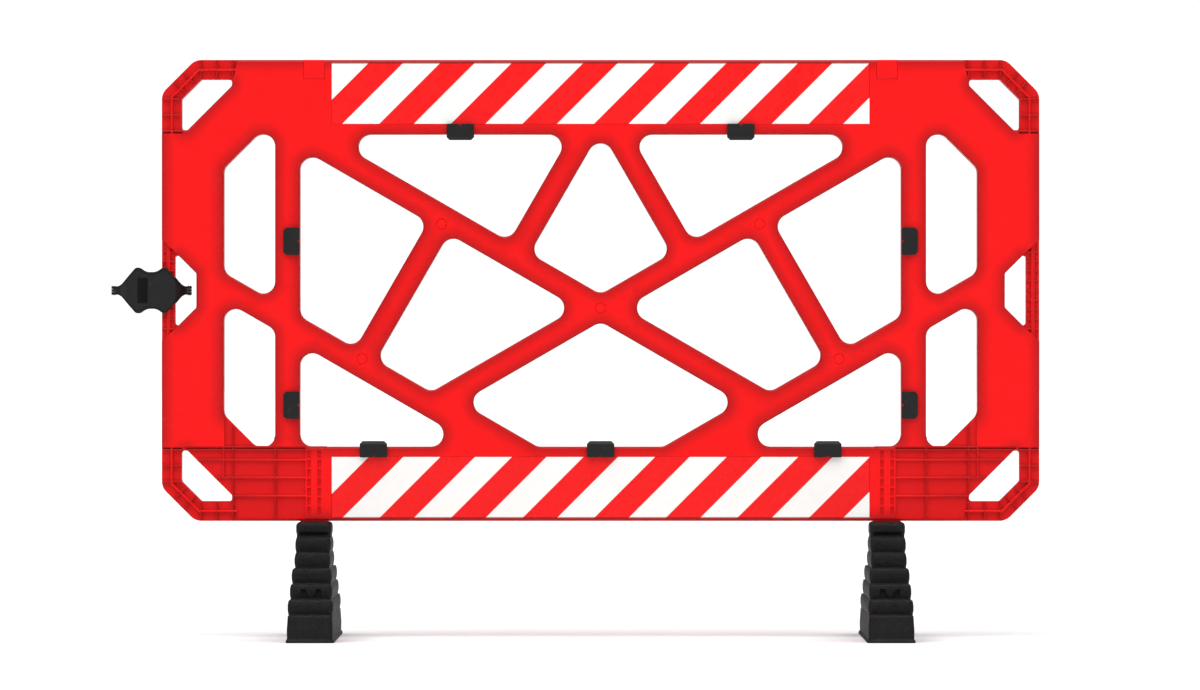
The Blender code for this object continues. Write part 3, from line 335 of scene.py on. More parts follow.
def hand_openings(s):
    """The four corner hand holes and the two at mid height."""
    reach = TOP + HALF
    outer_cut = s.corner_cut + s.hand_band * math.sqrt(2) * 0.93
    corner = region(
        ((-1, 0), HALF - s.hand_band),
        ((0, 1), TOP - s.hand_band),
        ((-ROOT, ROOT), ROOT * (reach - outer_cut)),
        ((ROOT, -ROOT), -ROOT * (reach - HAND_INNER_CUT)),
        ((1, 0), -(HALF - HAND_REACH)),
        ((0, -1), -(TOP - HAND_REACH)),
    )
    inner = HALF - SIDE_HOLE_CUT
    side = region(
        ((-1, 0), HALF - SIDE_BAR_WIDTH),
        ((1, 0), -(HALF - SIDE_HOLE_REACH)),
        ((0, 1), PANEL_MIDDLE + SIDE_HOLE_HALF),
        ((0, -1), -(PANEL_MIDDLE - SIDE_HOLE_HALF)),
        ((ROOT, ROOT), ROOT * (PANEL_MIDDLE - inner)),
        ((ROOT, -ROOT), -ROOT * (PANEL_MIDDLE + inner)),
    )
    return [*four_corners(corner), side, mirrored(side)]


def panel_outline(s):
    x, low, high, cut = HALF, TOP - s.height, TOP, s.corner_cut
    return [
        (-x + cut, low), (x - cut, low), (x, low + cut), (x, high - cut),
        (x - cut, high), (-x + cut, high), (-x, high - cut), (-x, low + cut),
    ]


def box_outline(x_low, x_high, z_low, z_high):
    return [(x_low, z_low), (x_high, z_low), (x_high, z_high), (x_low, z_high)]


# ---------------------------------------------------------------- surfaces
# A surface is (points, faces): an array of positions and a list of tuples of point numbers.

ALONG_Y = (0, 2, 1)  # order that puts a sweep or an axis along Y


def grid(points, wrap_rows=False, wrap_columns=True, caps=False):
    """The quads of a surface given on a (rows, columns, 3) grid, with flat ends if asked for."""
    rows, columns = points.shape[:2]
    r = np.arange(rows if wrap_rows else rows - 1)
    c = np.arange(columns if wrap_columns else columns - 1)
    r, c = (a.ravel() for a in np.meshgrid(r, c, indexing="ij"))
    r2, c2 = (r + 1) % rows, (c + 1) % columns
    quads = np.stack([r * columns + c, r * columns + c2, r2 * columns + c2, r2 * columns + c], 1)
    faces = [tuple(q) for q in quads.tolist()]
    if caps:
        faces.append(tuple(range(columns - 1, -1, -1)))
        faces.append(tuple(range((rows - 1) * columns, rows * columns)))
    return points.reshape(-1, 3), faces


def joined(surfaces):
    """Several surfaces as one."""
    points, faces, start = [], [], 0
    for p, f in surfaces:
        points.append(p)
        faces.extend(tuple(i + start for i in face) for face in f)
        start += len(p)
    return np.vstack(points), faces


def mesh_object(name, surface, weld=1e-6):
    """A closed mesh from surfaces: seams welded, then its faces turned outwards."""
    points, faces = surface
    mesh = bpy.data.meshes.new(name)
    mesh.from_pydata(points.tolist(), [], faces)
    bm = bmesh.new()
    bm.from_mesh(mesh)
    bmesh.ops.remove_doubles(bm, verts=bm.verts, dist=weld)
    bmesh.ops.dissolve_degenerate(bm, edges=bm.edges, dist=weld)
    bmesh.ops.recalc_face_normals(bm, faces=bm.faces)
    bm.to_mesh(mesh)
    bm.free()
    made = bpy.data.objects.new(name, mesh)
    bpy.context.scene.collection.objects.link(made)
    return made


def plane_to_world(plane, depth):
    """Panel (x, z) points at these depths as positions: x from the panel's middle, y the depth."""
    out = np.empty((*plane.shape[:-1], 3))
    out[..., 0] = plane[..., 0] + PANEL_X
    out[..., 1] = depth
    out[..., 2] = plane[..., 1]
    return out


def carried(corners, radius, steps, offsets, depths):
    """A profile carried along a rounded outline.

    Point (s, t) lies radius + offsets[t] from the arc centre of path point s, along the outline's
    normal there, at depth depths[t].
    """
    centres, normals = rounded(corners, radius, steps)
    plane = centres[:, None, :] + normals[:, None, :] * (radius + offsets)[None, :, None]
    return plane_to_world(plane, depths[None, :])


def quarter(start, centre, end, steps):
    """Points of a quarter circle in the (offset, depth) plane from start to end about centre."""
    t = np.linspace(0, math.pi / 2, steps + 1)[:, None]
    a, b = np.array(start) - centre, np.array(end) - centre
    return np.array(centre) + a * np.cos(t) + b * np.sin(t)


def wall_profile(s, lip, strip, sign):
    """Face strip, lip, outer wall, rim and inner wall of an edge, as (offset, depth).

    Offsets grow into the material, and sign is 1 round a hole and -1 round the outside: the lip is a
    quarter circle, the rim has two small ones, and another leads from the inner wall to the skin's back.
    """
    rim, wall, inner, skin_back = RIM_ROUND, s.wall, s.wall + WALL_FILLET, FACE + s.skin
    turn = skin_back + WALL_FILLET
    parts = [
        [(lip + strip, FACE), (lip + strip * 0.6, FACE), (lip + strip * 0.25, FACE)],
        quarter((lip, FACE), (lip, FACE + lip), (0, FACE + lip), 7),
        quarter((0, BACK - rim), (rim, BACK - rim), (rim, BACK), 3),
        quarter((wall - rim, BACK), (wall - rim, BACK - rim), (wall, BACK - rim), 3),
        quarter((wall, turn), (inner, turn), (inner, skin_back), 3),
    ]
    profile = np.vstack(parts)
    return sign * profile[:, 0], profile[:, 1]


def inside(points, loop):
    """Which points lie inside a convex anticlockwise loop."""
    after = np.roll(loop, -1, 0)
    edge = after - loop
    rel = points[:, None, :] - loop[None, :, :]
    return ((edge[None, :, 0] * rel[..., 1] - edge[None, :, 1] * rel[..., 0]) >= 0).all(1)


def filled(outer, holes, depth, free=()):
    """A flat face at one depth, inside the outer loop and outside every hole, through the free points."""
    loops = [outer, *holes]
    flat = np.vstack([*loops, *free])
    edges, start = [], 0
    for loop in loops:
        count = len(loop)
        edges += [(start + i, start + (i + 1) % count) for i in range(count)]
        start += count
    verts, _, faces, *_ = delaunay_2d_cdt([Vector(p) for p in flat], edges, [], 0, 1e-8)
    points = np.array([tuple(v) for v in verts])
    triangles = np.array([tuple(f) for f in faces])
    middle = points[triangles].mean(1)
    keep = inside(middle, outer)
    for hole in holes:
        keep &= ~inside(middle, hole)
    return plane_to_world(points, np.full(len(points), depth)), [tuple(t) for t in triangles[keep].tolist()]


def swept(outline, low, high, order=(0, 1, 2)):
    """A closed prism: an outline (a, b) run from low to high along c, with (a, b, c) put in this order."""
    plane = np.array([outline, outline])
    run = np.stack([np.broadcast_to(low, len(outline)), np.broadcast_to(high, len(outline))])
    return grid(np.concatenate([plane, run[..., None]], -1)[..., order], caps=True)


def prism(outline, low, high):
    """A closed prism through the panel's thickness from an outline in its plane."""
    return swept([(x + PANEL_X, z) for x, z in outline], low, high, ALONG_Y)


def rib(path, width, low, top, toward=1):
    """A rib with a rounded crown carried along a path in the panel's plane.

    The profile goes up one side, over a crown that is a half ellipse, and down the other side. At a
    bend the profile is stretched along the mitre.
    """
    path = np.array(path, float)
    along = np.diff(path, axis=0)
    along /= np.linalg.norm(along, axis=1)[:, None]
    before = np.vstack([along[:1], along])
    after = np.vstack([along, along[-1:]])
    side_before = np.stack([before[:, 1], -before[:, 0]], 1)
    side_after = np.stack([after[:, 1], -after[:, 0]], 1)
    mitre = (side_before + side_after) / (1 + (side_before * side_after).sum(1))[:, None]
    t = np.linspace(0, math.pi, 7)
    crown = width * 0.34
    shape_across = np.concatenate([[-width * 0.56], -width / 2 * np.cos(t), [width * 0.56]])
    shape_depth = np.concatenate([[low], top + toward * crown * (1 - np.sin(t)), [low]])
    plane = path[:, None, :] + mitre[:, None, :] * shape_across[None, :, None]
    return grid(plane_to_world(plane, shape_depth[None, :]), caps=True)


def turned(profile, centre, sides=48, order=(0, 1, 2), ring=False):
    """A solid of revolution: point (t, k) is profile radius[t] at angle k, height[t] up the axis."""
    profile = np.array(profile)
    angle = (np.arange(sides) * math.tau / sides)[None, :]
    radius, height = profile[:, 0][:, None], profile[:, 1][:, None]
    parts = (radius * np.cos(angle), radius * np.sin(angle), np.broadcast_to(height, (len(profile), sides)))
    return grid(np.stack(parts, -1)[..., order] + np.array(centre), wrap_rows=ring, caps=not ring)


def filleted(points, reach, steps=3):
    """A polyline with each inner corner replaced by a parabola that starts reach before the corner."""
    points = np.array(points, float)
    inner = points[1:-1]
    back, ahead = points[:-2] - inner, points[2:] - inner
    lengths = [np.linalg.norm(v, axis=1)[:, None] for v in (back, ahead)]
    reaches = [np.minimum(reach, 0.49 * length) / length for length in lengths]
    a, b = inner + back * reaches[0], inner + ahead * reaches[1]
    t = np.linspace(0, 1, steps + 1)[None, :, None]
    arcs = (1 - t) ** 2 * a[:, None] + 2 * t * (1 - t) * inner[:, None] + t**2 * b[:, None]
    return np.vstack([points[:1], arcs.reshape(-1, points.shape[1]), points[-1:]])


# ---------------------------------------------------------------- finishing


def mark(mesh, name, values):
    mesh.attributes.new(name, "FLOAT", "POINT").data.foreach_set("value", values.astype(np.float32))


def positions(mesh):
    flat = np.empty(len(mesh.vertices) * 3)
    mesh.vertices.foreach_get("co", flat)
    return flat.reshape(-1, 3)


def shaped(piece, *changes):
    """Applies Booleans, each (operation, surface), and leaves one plain mesh."""
    helpers = []
    for number, (operation, surface) in enumerate(changes):
        helper = mesh_object(f"helper_{number}", surface)
        helpers.append(helper)
        modifier = piece.modifiers.new(helper.name, "BOOLEAN")
        modifier.operation = operation
        modifier.object = helper
        modifier.solver = "EXACT"
        modifier.use_self = True
    bpy.context.view_layer.update()
    evaluated = piece.evaluated_get(bpy.context.evaluated_depsgraph_get())
    mesh = bpy.data.meshes.new_from_object(evaluated)
    piece.modifiers.clear()
    old = piece.data
    piece.data = mesh
    mesh.name = piece.name
    bpy.data.meshes.remove(old)
    for helper in helpers:
        bpy.data.objects.remove(helper)
    if not len(mesh.polygons):
        raise RuntimeError(f"{piece.name} lost all its faces in a Boolean")
    return piece


def taken(piece):
    """The surface of a helper piece, which is then removed."""
    mesh = piece.data
    surface = positions(mesh), [tuple(face.vertices) for face in mesh.polygons]
    bpy.data.objects.remove(piece)
    bpy.data.meshes.remove(mesh)
    return surface


def added(piece, surface):
    """The piece's mesh with more closed bodies beside what it has."""
    extra = mesh_object("extra_bodies", surface)
    bm = bmesh.new()
    bm.from_mesh(piece.data)
    bm.from_mesh(extra.data)
    bm.to_mesh(piece.data)
    bm.free()
    bpy.data.objects.remove(extra)
    return piece


def smooth(piece, angle_deg=32.0):
    """Smooth shading between faces that meet at less than this angle, with flat faces kept flat."""
    piece.data.shade_smooth()
    piece.data.set_sharp_from_angle(angle=math.radians(angle_deg))
    weighted = piece.modifiers.new("weighted_normals", "WEIGHTED_NORMAL")
    weighted.keep_sharp = True
    weighted.weight = 100
    return piece


def dressed(piece, finish, slot, body, *nodes):
    """Gives a finished piece its material, the body it rides on and what it stands for; the slot is not
    used.
    """
    piece.data.materials.clear()
    piece.data.materials.append(finish)
    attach(piece, body)
    if nodes:
        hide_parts(*nodes)
    return piece


# ---------------------------------------------------------------- materials


class Nodes:
    """A material's nodes, added by kind with their inputs given by name."""

    def __init__(self, name):
        existing = bpy.data.materials.get(name)
        self.fresh = existing is None
        self.material = existing or bpy.data.materials.new(name)
        if self.fresh:
            self.material.use_nodes = True
        self.tree = self.material.node_tree
        self.shader = next(n for n in self.tree.nodes if n.type == "BSDF_PRINCIPLED")

    def add(self, kind, inputs=(), **settings):
        node = self.tree.nodes.new(kind)
        for key, value in settings.items():
            setattr(node, key, value)
        self.feed(node, dict(inputs))
        return node

    def feed(self, node, inputs):
        for key, value in inputs.items():
            if isinstance(value, bpy.types.NodeSocket):
                self.tree.links.new(value, node.inputs[key])
            else:
                node.inputs[key].default_value = value

    def object_place(self):
        return self.add("ShaderNodeTexCoord").outputs["Object"]

    def noise(self, place, scale, detail=2.0, roughness=0.5):
        inputs = {"Vector": place, "Scale": scale, "Detail": detail, "Roughness": roughness}
        return self.add("ShaderNodeTexNoise", inputs).outputs["Fac"]

    def band(self, value, low, high, to_low=0.0, to_high=1.0, kind="SMOOTHSTEP"):
        inputs = {"Value": value, "From Min": low, "From Max": high, "To Min": to_low, "To Max": to_high}
        return self.add("ShaderNodeMapRange", inputs, interpolation_type=kind).outputs["Result"]

    def math(self, operation, a, b=0.0):
        node = self.add("ShaderNodeMath", operation=operation)
        self.feed(node, {0: a, 1: b})
        return node.outputs[0]

    def mix(self, share, a, b, blend="MIX"):
        node = self.add("ShaderNodeMix", data_type="RGBA", blend_type=blend)
        self.feed(node, {0: share, 6: a, 7: b})
        return node.outputs[2]

    def bump(self, height, strength, distance, normal=None):
        inputs = {"Height": height, "Strength": strength, "Distance": distance}
        if normal is not None:
            inputs["Normal"] = normal
        return self.add("ShaderNodeBump", inputs).outputs["Normal"]

    def stretched(self, place, scale):
        return self.add("ShaderNodeMapping", {"Vector": place, "Scale": scale}).outputs["Vector"]


def moulded_red(settings):
    """Glossy moulded plastic: fine spark grain, faint flow, rubbed lips, painted shade near every edge and
    on the stepped-back floors, rougher floors, a few scuffs.
    """
    m = Nodes("moulded_red_plastic")
    if not m.fresh:
        return m.material
    place = m.object_place()
    flow = m.noise(place, 4.0, 3.0)
    speck = m.noise(place, 420.0, 2.0)
    recess = m.add("ShaderNodeAttribute", attribute_name="recess").outputs["Fac"]
    # The edge attribute holds nearness to an edge; below it becomes painted shade.
    edge = m.add("ShaderNodeAttribute", attribute_name="edge").outputs["Fac"]
    shade = m.math("POWER", edge, 1.25)
    red = np.array(settings.red)
    base = m.mix(m.band(flow, 0.3, 0.7), rgba(red * 0.955), rgba(np.minimum(red * 1.04, 1)))
    base = m.mix(m.band(speck, 0.35, 0.75, 0.0, 0.35), base, rgba(red * 0.93))
    # Painted shade: the stepped-back floors are darkened, fading up the walls beside them.
    base = m.mix(m.math("MULTIPLY", recess, 0.45), base, rgba(red * np.array([0.66, 0.9, 1.0])))
    # Painted shade: the red darkens towards every edge of the face and of the openings.
    base = m.mix(m.math("MULTIPLY", shade, 0.90), base, rgba(red * np.array([0.42, 0.9, 1.0])))
    scratch = m.noise(m.stretched(place, (26.0, 26.0, 620.0)), 1.0, 2.0, 0.6)
    patch = m.noise(place, 5.5, 2.0)
    scuffed = m.math("MULTIPLY", m.band(scratch, 0.66, 0.72), m.band(patch, 0.56, 0.68))
    base = m.mix(m.math("MULTIPLY", scuffed, 0.22), base, (0.93, 0.075, 0.065, 1.0))
    rubbed = m.math("MULTIPLY", m.band(edge, 0.55, 0.95), m.band(m.noise(place, 60.0, 3.0), 0.50, 0.66))
    base = m.mix(m.math("MULTIPLY", rubbed, 0.05), base, (0.92, 0.05, 0.045, 1.0))
    rough = m.band(m.noise(place, 34.0, 3.0), 0.3, 0.7, settings.roughness - 0.05, settings.roughness + 0.05)
    rough = m.math("ADD", rough, m.math("MULTIPLY", scuffed, 0.16))
    rough = m.math("ADD", rough, m.math("MULTIPLY", recess, 0.10))
    normal = m.bump(m.noise(place, 11.0, 1.0), 0.10, 0.0012)
    normal = m.bump(m.noise(place, 1250.0, 2.0), 0.16, 0.00012, normal)
    normal = m.bump(scratch, 0.04, 0.0001, normal)
    m.feed(m.shader, {"Base Color": base, "Roughness": rough, "Normal": normal, "Specular IOR Level": 0.20})
    return m.material


def striped_sheet(settings, name, corner, shadow_line_z):
    """Reflective sheeting: stripes from its upper left corner with painted shade lines along their edges, a
    fine cell lattice, and a painted shadow line along its outer edge.
    """
    m = Nodes(name)
    if not m.fresh:
        return m.material
    place = m.object_place()
    split = m.add("ShaderNodeSeparateXYZ", {"Vector": place})
    along = m.math("SUBTRACT", split.outputs["X"], split.outputs["Z"])
    along = m.math("SUBTRACT", along, corner[0] - corner[1])
    share = m.math("FRACT", m.math("DIVIDE", along, settings.stripe))
    soft = 0.0004 / settings.stripe
    start = m.band(share, 0.0, soft, 1.0, 0.0, "LINEAR")
    white = settings.white_share
    red_part = m.math("MAXIMUM", m.band(share, white - soft, white, kind="LINEAR"), start)
    edge = settings.stripe_shade_line / settings.stripe
    stripe_start_shade = m.math("MULTIPLY", m.band(share, white, white + edge, 1.0, 0.0), red_part)
    stripe_end_shade = m.math("MULTIPLY", m.band(share, 1.0 - edge, 1.0), red_part)
    slant = m.add("ShaderNodeMapping", {"Vector": place, "Rotation": (0.0, math.radians(45), 0.0)})
    lattice = {"Vector": slant.outputs["Vector"], "Scale": 300.0, "Randomness": 0.0}
    cells = m.add("ShaderNodeTexVoronoi", lattice, feature="DISTANCE_TO_EDGE")
    seam = m.band(cells.outputs["Distance"], 0.02, 0.10, 1.0, 0.0)
    tint = m.noise(place, 7.0, 3.0)
    pale = m.mix(m.band(tint, 0.3, 0.7), rgba(settings.white), rgba(np.array(settings.white) * 0.975))
    red = m.mix(m.band(tint, 0.3, 0.7), rgba(settings.red), rgba(np.array(settings.red) * 0.95))
    base = m.mix(red_part, pale, red)
    # Painted shade: a dark red line at the start and the end of every red stripe.
    base = m.mix(m.math("MULTIPLY", m.math("ADD", stripe_start_shade, stripe_end_shade), 0.5), base, (0.46, 0.018, 0.02, 1.0))
    base = m.mix(m.math("MULTIPLY", seam, 0.055), base, (0.35, 0.33, 0.33, 1.0))
    # Painted shadow: a dark line along the sheet's outer edge, where it meets its seat.
    from_line = m.math("ABSOLUTE", m.math("SUBTRACT", split.outputs["Z"], shadow_line_z))
    seat_shadow = m.band(from_line, 0.0012, 0.0024, 1.0, 0.0)
    base = m.mix(m.math("MULTIPLY", seat_shadow, 0.72), base, (0.075, 0.022, 0.024, 1.0))
    rough = m.band(m.noise(place, 55.0, 3.0), 0.3, 0.7, 0.24, 0.34)
    normal = m.bump(m.noise(place, 14.0, 2.0), 0.12, 0.0008)
    normal = m.bump(seam, 0.10, 0.00006, normal)
    m.feed(m.shader, {"Base Color": base, "Roughness": rough, "Normal": normal, "Specular IOR Level": 0.24})
    return m.material


def crumb_rubber(settings):
    """Pressed recycled rubber: dark crumbs of slightly different shade, lighter in patches on the upward
    ledges with dust and painted highlight.
    """
    m = Nodes("pressed_crumb_rubber")
    if not m.fresh:
        return m.material
    place = m.object_place()
    crumb = m.add("ShaderNodeTexVoronoi", {"Vector": place, "Scale": 430.0, "Randomness": 1.0})
    shade = m.add("ShaderNodeSeparateColor", {"Color": crumb.outputs["Color"]}).outputs["Red"]
    dark = np.array(settings.colour)
    base = m.mix(m.band(shade, 0.1, 0.95), rgba(dark * 0.62), rgba(dark * 1.5))
    blotch = m.noise(place, 16.0, 3.0)
    base = m.mix(m.band(blotch, 0.42, 0.7, 0.0, 0.4), base, rgba(dark * 1.7))
    facing = m.add("ShaderNodeNewGeometry").outputs["Normal"]
    up = m.add("ShaderNodeSeparateXYZ", {"Vector": facing}).outputs["Z"]
    # Dust and painted highlight: upward-facing ledges are lighter in patches.
    dust_and_highlight = m.math("MULTIPLY", m.band(up, 0.35, 0.95), m.band(m.noise(place, 70.0, 4.0), 0.40, 0.70))
    base = m.mix(m.math("MULTIPLY", dust_and_highlight, 0.16), base, (0.10, 0.096, 0.09, 1.0))
    rough = m.band(m.noise(place, 90.0, 3.0), 0.3, 0.7, 0.52, 0.68)
    normal = m.bump(crumb.outputs["Distance"], 0.34, 0.0004)
    normal = m.bump(m.noise(place, 2100.0, 2.0), 0.25, 0.00015, normal)
    m.feed(m.shader, {"Base Color": base, "Roughness": rough, "Normal": normal, "Specular IOR Level": 0.18})
    return m.material


def black_nylon(settings):
    """Moulded glass-filled nylon: fine grain with faint flow streaks, greyed rubbing marks and painted shade
    on the rim round the link's plate.
    """
    m = Nodes("black_glass_nylon")
    if not m.fresh:
        return m.material
    place = m.object_place()
    dark = np.array(settings.nylon)
    streak = m.noise(m.stretched(place, (90.0, 90.0, 900.0)), 1.0, 2.0)
    base = m.mix(m.band(streak, 0.35, 0.75), rgba(dark), rgba(dark * 1.35))
    patch = m.band(m.noise(place, 24.0, 2.0), 0.5, 0.7)
    rubbed = m.math("MULTIPLY", m.band(m.noise(place, 210.0, 4.0), 0.60, 0.72), patch)
    base = m.mix(m.math("MULTIPLY", rubbed, 0.25), base, (0.085, 0.085, 0.088, 1.0))
    # Painted shade: points on the rim round the link's plate are darkened.
    rim = m.add("ShaderNodeAttribute", attribute_name="edge").outputs["Fac"]
    base = m.mix(m.math("MULTIPLY", rim, 0.75), base, rgba(dark * 0.25))
    rough = m.band(m.noise(place, 120.0, 3.0), 0.3, 0.7, 0.36, 0.48)
    rough = m.math("ADD", rough, m.math("MULTIPLY", rim, 0.2))
    normal = m.bump(m.noise(place, 1700.0, 2.0), 0.20, 0.0001)
    normal = m.bump(streak, 0.05, 0.0001, normal)
    m.feed(m.shader, {"Base Color": base, "Roughness": rough, "Normal": normal, "Specular IOR Level": 0.26})
    return m.material


def zinc_plate(settings):
    """Bright zinc plate: turned lines, a faint warm passivation tint and small dull spots."""
    m = Nodes("bright_zinc_plate")
    if not m.fresh:
        return m.material
    place = m.object_place()
    zinc = np.array(settings.zinc)
    tint = m.noise(place, 160.0, 3.0)
    base = m.mix(m.band(tint, 0.35, 0.7), rgba(zinc), rgba(zinc * np.array([1.0, 0.97, 0.86])))
    spot = m.band(m.noise(place, 700.0, 2.0), 0.64, 0.72)
    base = m.mix(m.math("MULTIPLY", spot, 0.4), base, (0.30, 0.30, 0.29, 1.0))
    lines = m.noise(m.stretched(place, (300.0, 300.0, 5200.0)), 1.0, 2.0)
    rough = m.math("ADD", m.band(lines, 0.3, 0.7, 0.26, 0.40), m.math("MULTIPLY", spot, 0.2))
    normal = m.bump(lines, 0.08, 0.00005)
    m.feed(m.shader, {"Base Color": base, "Roughness": rough, "Normal": normal, "Metallic": 1.0})
    return m.material


# ---------------------------------------------------------------- the moulding

WIDE_STRIP = 0.0075  # face beside a big opening that has its own row of points
OUTER_STRIP = 0.0065
NARROW_STRIP = 0.0045
EDGE_REACH = 0.026  # how far from an edge the painted shade on the face reaches
FREE_PITCH = 0.013  # lattice of points inside the face
FREE_CLEAR = 0.0145  # how far the lattice keeps from every edge
PAST = 0.010  # how far a cutter runs past what it cuts
FIT = 0.0003  # gap between pieces that touch
INTO_WALL = 0.0028  # how far a floor runs into the walls beside it
LOW_RECESS_INNER = 0.504
LOW_RIB_DROPS = (0.0, 0.0223, 0.0526, 0.0840)
SIDE_RECESS_HALF = 0.086
SIDE_FLOOR = -0.011
SOCKET_DEPTH = 0.098
SOCKET_ROOF = 0.012
SOCKET_BORE = 0.0145
STUB_BORE = 0.0086
SOCKET_TUBE = 0.0202
LADDER_POCKET = 0.004
LADDER_PITCH = 0.016
LADDER_RUNGS = 7
CAP_DEPTH = 0.020
RIB_RELIEF = 0.0003  # front ribs end this far under the face
BACK_RIB_RELIEF = 0.004
RIB_CLEAR = 0.03  # how far the strut ribs keep from the middle field's edge
MARK_DEPTH = 0.0012
FLOOR_EDGE = 0.3  # how much of an edge's painted shade reaches a stepped-back floor
GATE_MARKS = ((0.0, 0.565), (-0.2717, 0.7085), (0.2717, 0.7085), (-0.4075, 0.478), (0.4075, 0.478))
NEAR = FACE - PAST
FAR = BACK + PAST


def corner_points(points):
    """Distances along and down from the top left corner, as panel points."""
    return [(-HALF + along, TOP - down) for along, down in points]


def hand_recess(s):
    """The stepped-back front of the top left hand bar."""
    band, end, slant, hole = s.hand_band, 0.131, 0.0115, s.hand_band + PAST
    return corner_points(
        [
            (-PAST, -PAST),
            (-PAST, HAND_REACH + 0.006),
            (band + 0.002, HAND_REACH + 0.006),
            (band + 0.002, HAND_REACH - 0.006),
            (hole + 0.018, hole + 0.018),
            (end - slant, band + 0.009),
            (end + 0.002, -PAST),
        ]
    )


def side_recess(grow=0.0):
    """The stepped-back front of the left hand bar."""
    edge = SIDE_RECESS_HALF + grow
    inner = -HALF + SIDE_HOLE_REACH - 0.020
    bend = SIDE_HOLE_HALF / 2
    low = [(-HALF - PAST, -edge - PAST), (-HALF + bend, bend - 0.003 - edge), (inner, -bend)]
    points = low + [(x, -z) for x, z in reversed(low)]
    return [(x, PANEL_MIDDLE + z) for x, z in points]


def low_recess(s):
    """The ribbed field beside the left foot socket, with the gusset under the slot."""
    bottom = TOP - s.height
    top, low = s.field_bottom + 0.0005, bottom + 0.0035
    hole_left = -HALF + HAND_INNER_CUT - HAND_REACH
    return [
        (-HALF + HAND_REACH + 0.0085, low),
        (-LOW_RECESS_INNER, low),
        (-LOW_RECESS_INNER, top),
        (-SLOT_LOW_CUT - top + 0.006, top),
        (-SLOT_OUTER + 0.0015, SLOT_OUTER - SLOT_LOW_CUT + 0.012),
        (-SLOT_OUTER + 0.0015, top),
        (hole_left - 0.006, top),
        (hole_left + 0.002, bottom + HAND_REACH - 0.004),
        (-HALF + HAND_REACH - 0.004, bottom + HAND_INNER_CUT - HAND_REACH - 0.002),
    ]


def both(points):
    return [points, mirrored(points)]


def prisms(outlines, low, high):
    return joined([prism(points, low, high) for points in outlines])


class Plan:
    """Every edge of the moulding: its corners, radius and lip, and its finished loop."""

    def __init__(self, s):
        self.s = s
        self.outer = (panel_outline(s), s.corner_round, 10)
        self.holes = [(points, s.field_round, 10) for points in field_openings(s)]
        self.holes += [(points, s.slot_round, 10) for points in slot_openings(s)]
        rounds = [HAND_ROUND] * 4 + [SIDE_HOLE_ROUND] * 2
        self.holes += [(points, radius, 6) for points, radius in zip(hand_openings(s), rounds)]
        self.strips = [WIDE_STRIP] * (len(self.holes) - 6) + [NARROW_STRIP] * 6
        self.outer_loop = self.loop(self.outer, 0.0)
        self.hole_loops = [self.loop(hole, 0.0) for hole in self.holes]

    def loop(self, edge, offset):
        corners, radius, steps = edge
        centres, normals = rounded(corners, radius, steps)
        return centres + normals * (radius + offset)

    def distance(self, point, direction, loops=None):
        """How far a ray from a point in the panel's plane goes before it meets an edge."""
        p, d = np.array(point), np.array(direction)
        nearest = math.inf
        for loop in self.hole_loops + [self.outer_loop] if loops is None else loops:
            edge = np.roll(loop, -1, 0) - loop
            gap = loop - p
            with np.errstate(divide="ignore", invalid="ignore"):
                cross = d[0] * edge[:, 1] - d[1] * edge[:, 0]
                t = (gap[:, 0] * edge[:, 1] - gap[:, 1] * edge[:, 0]) / cross
                u = (gap[:, 0] * d[1] - gap[:, 1] * d[0]) / cross
            hit = t[(u >= 0) & (u <= 1) & (t > 1e-6)]
            nearest = min(nearest, hit.min()) if len(hit) else nearest
        return nearest

    def in_hole(self, point):
        return any(inside(np.array([point]), loop)[0] for loop in self.hole_loops)

    def free_points(self):
        """A staggered lattice over the face that keeps clear of every edge."""
        low = TOP - self.s.height
        x, z = np.meshgrid(np.arange(-HALF, HALF, FREE_PITCH), np.arange(low, TOP, FREE_PITCH))
        x[::2] += FREE_PITCH / 2
        points = np.stack([x.ravel(), z.ravel()], 1)
        kept = inside(points, self.outer_loop)
        for loop in self.hole_loops:
            kept &= ~inside(points, loop)
        points = points[kept]
        return points[gap_to(points, [self.outer_loop, *self.hole_loops]) > FREE_CLEAR]


def shell_surface(plan):
    """Skin, lips, walls and rims of the moulding as one closed surface, open at the back."""
    s = plan.s
    edges = [(plan.outer, s.edge_lip, OUTER_STRIP, -1)]
    edges += [(hole, s.opening_lip, strip, 1) for hole, strip in zip(plan.holes, plan.strips)]
    surfaces = [
        grid(carried(*edge, *wall_profile(s, lip, strip, sign)), wrap_rows=True, wrap_columns=False)
        for edge, lip, strip, sign in edges
    ]
    fillet_end = s.wall + WALL_FILLET
    front = [plan.loop(hole, s.opening_lip + strip) for hole, strip in zip(plan.holes, plan.strips)]
    rear = [plan.loop(hole, fillet_end) for hole in plan.holes]
    front_edge = plan.loop(plan.outer, -s.edge_lip - OUTER_STRIP)
    surfaces.append(filled(front_edge, front, FACE, [plan.free_points()]))
    surfaces.append(filled(plan.loop(plan.outer, -fillet_end), rear, FACE + s.skin))
    return joined(surfaces)


def floor_body(plan, name, outlines, back):
    """The thickness under a stepped-back field, trimmed to run just into the walls beside it."""
    body = mesh_object(name, prisms([grown(points, plan.s.wall) for points in outlines], FACE + 0.001, back))
    edge = prism(plan.loop(plan.outer, -INTO_WALL), NEAR, FAR)
    holes = prisms([plan.loop(hole, INTO_WALL) for hole in plan.holes], NEAR, FAR)
    return taken(shaped(body, ("INTERSECT", edge), ("DIFFERENCE", holes)))


def cross_rib(plan, middle, direction, width, low, top, limits=None, ease=0.0006, toward=1):
    """A rib through a point, run both ways until it meets an edge of the moulding or of its field."""
    middle, direction = np.array(middle), np.array(direction)
    ends = []
    for sign in (-1, 1):
        run = plan.distance(middle, sign * direction) - ease
        if limits is not None:
            run = min(run, plan.distance(middle, sign * direction, limits) + 0.001)
        ends.append(middle + sign * direction * run)
    return rib(ends, width, low, top, toward)


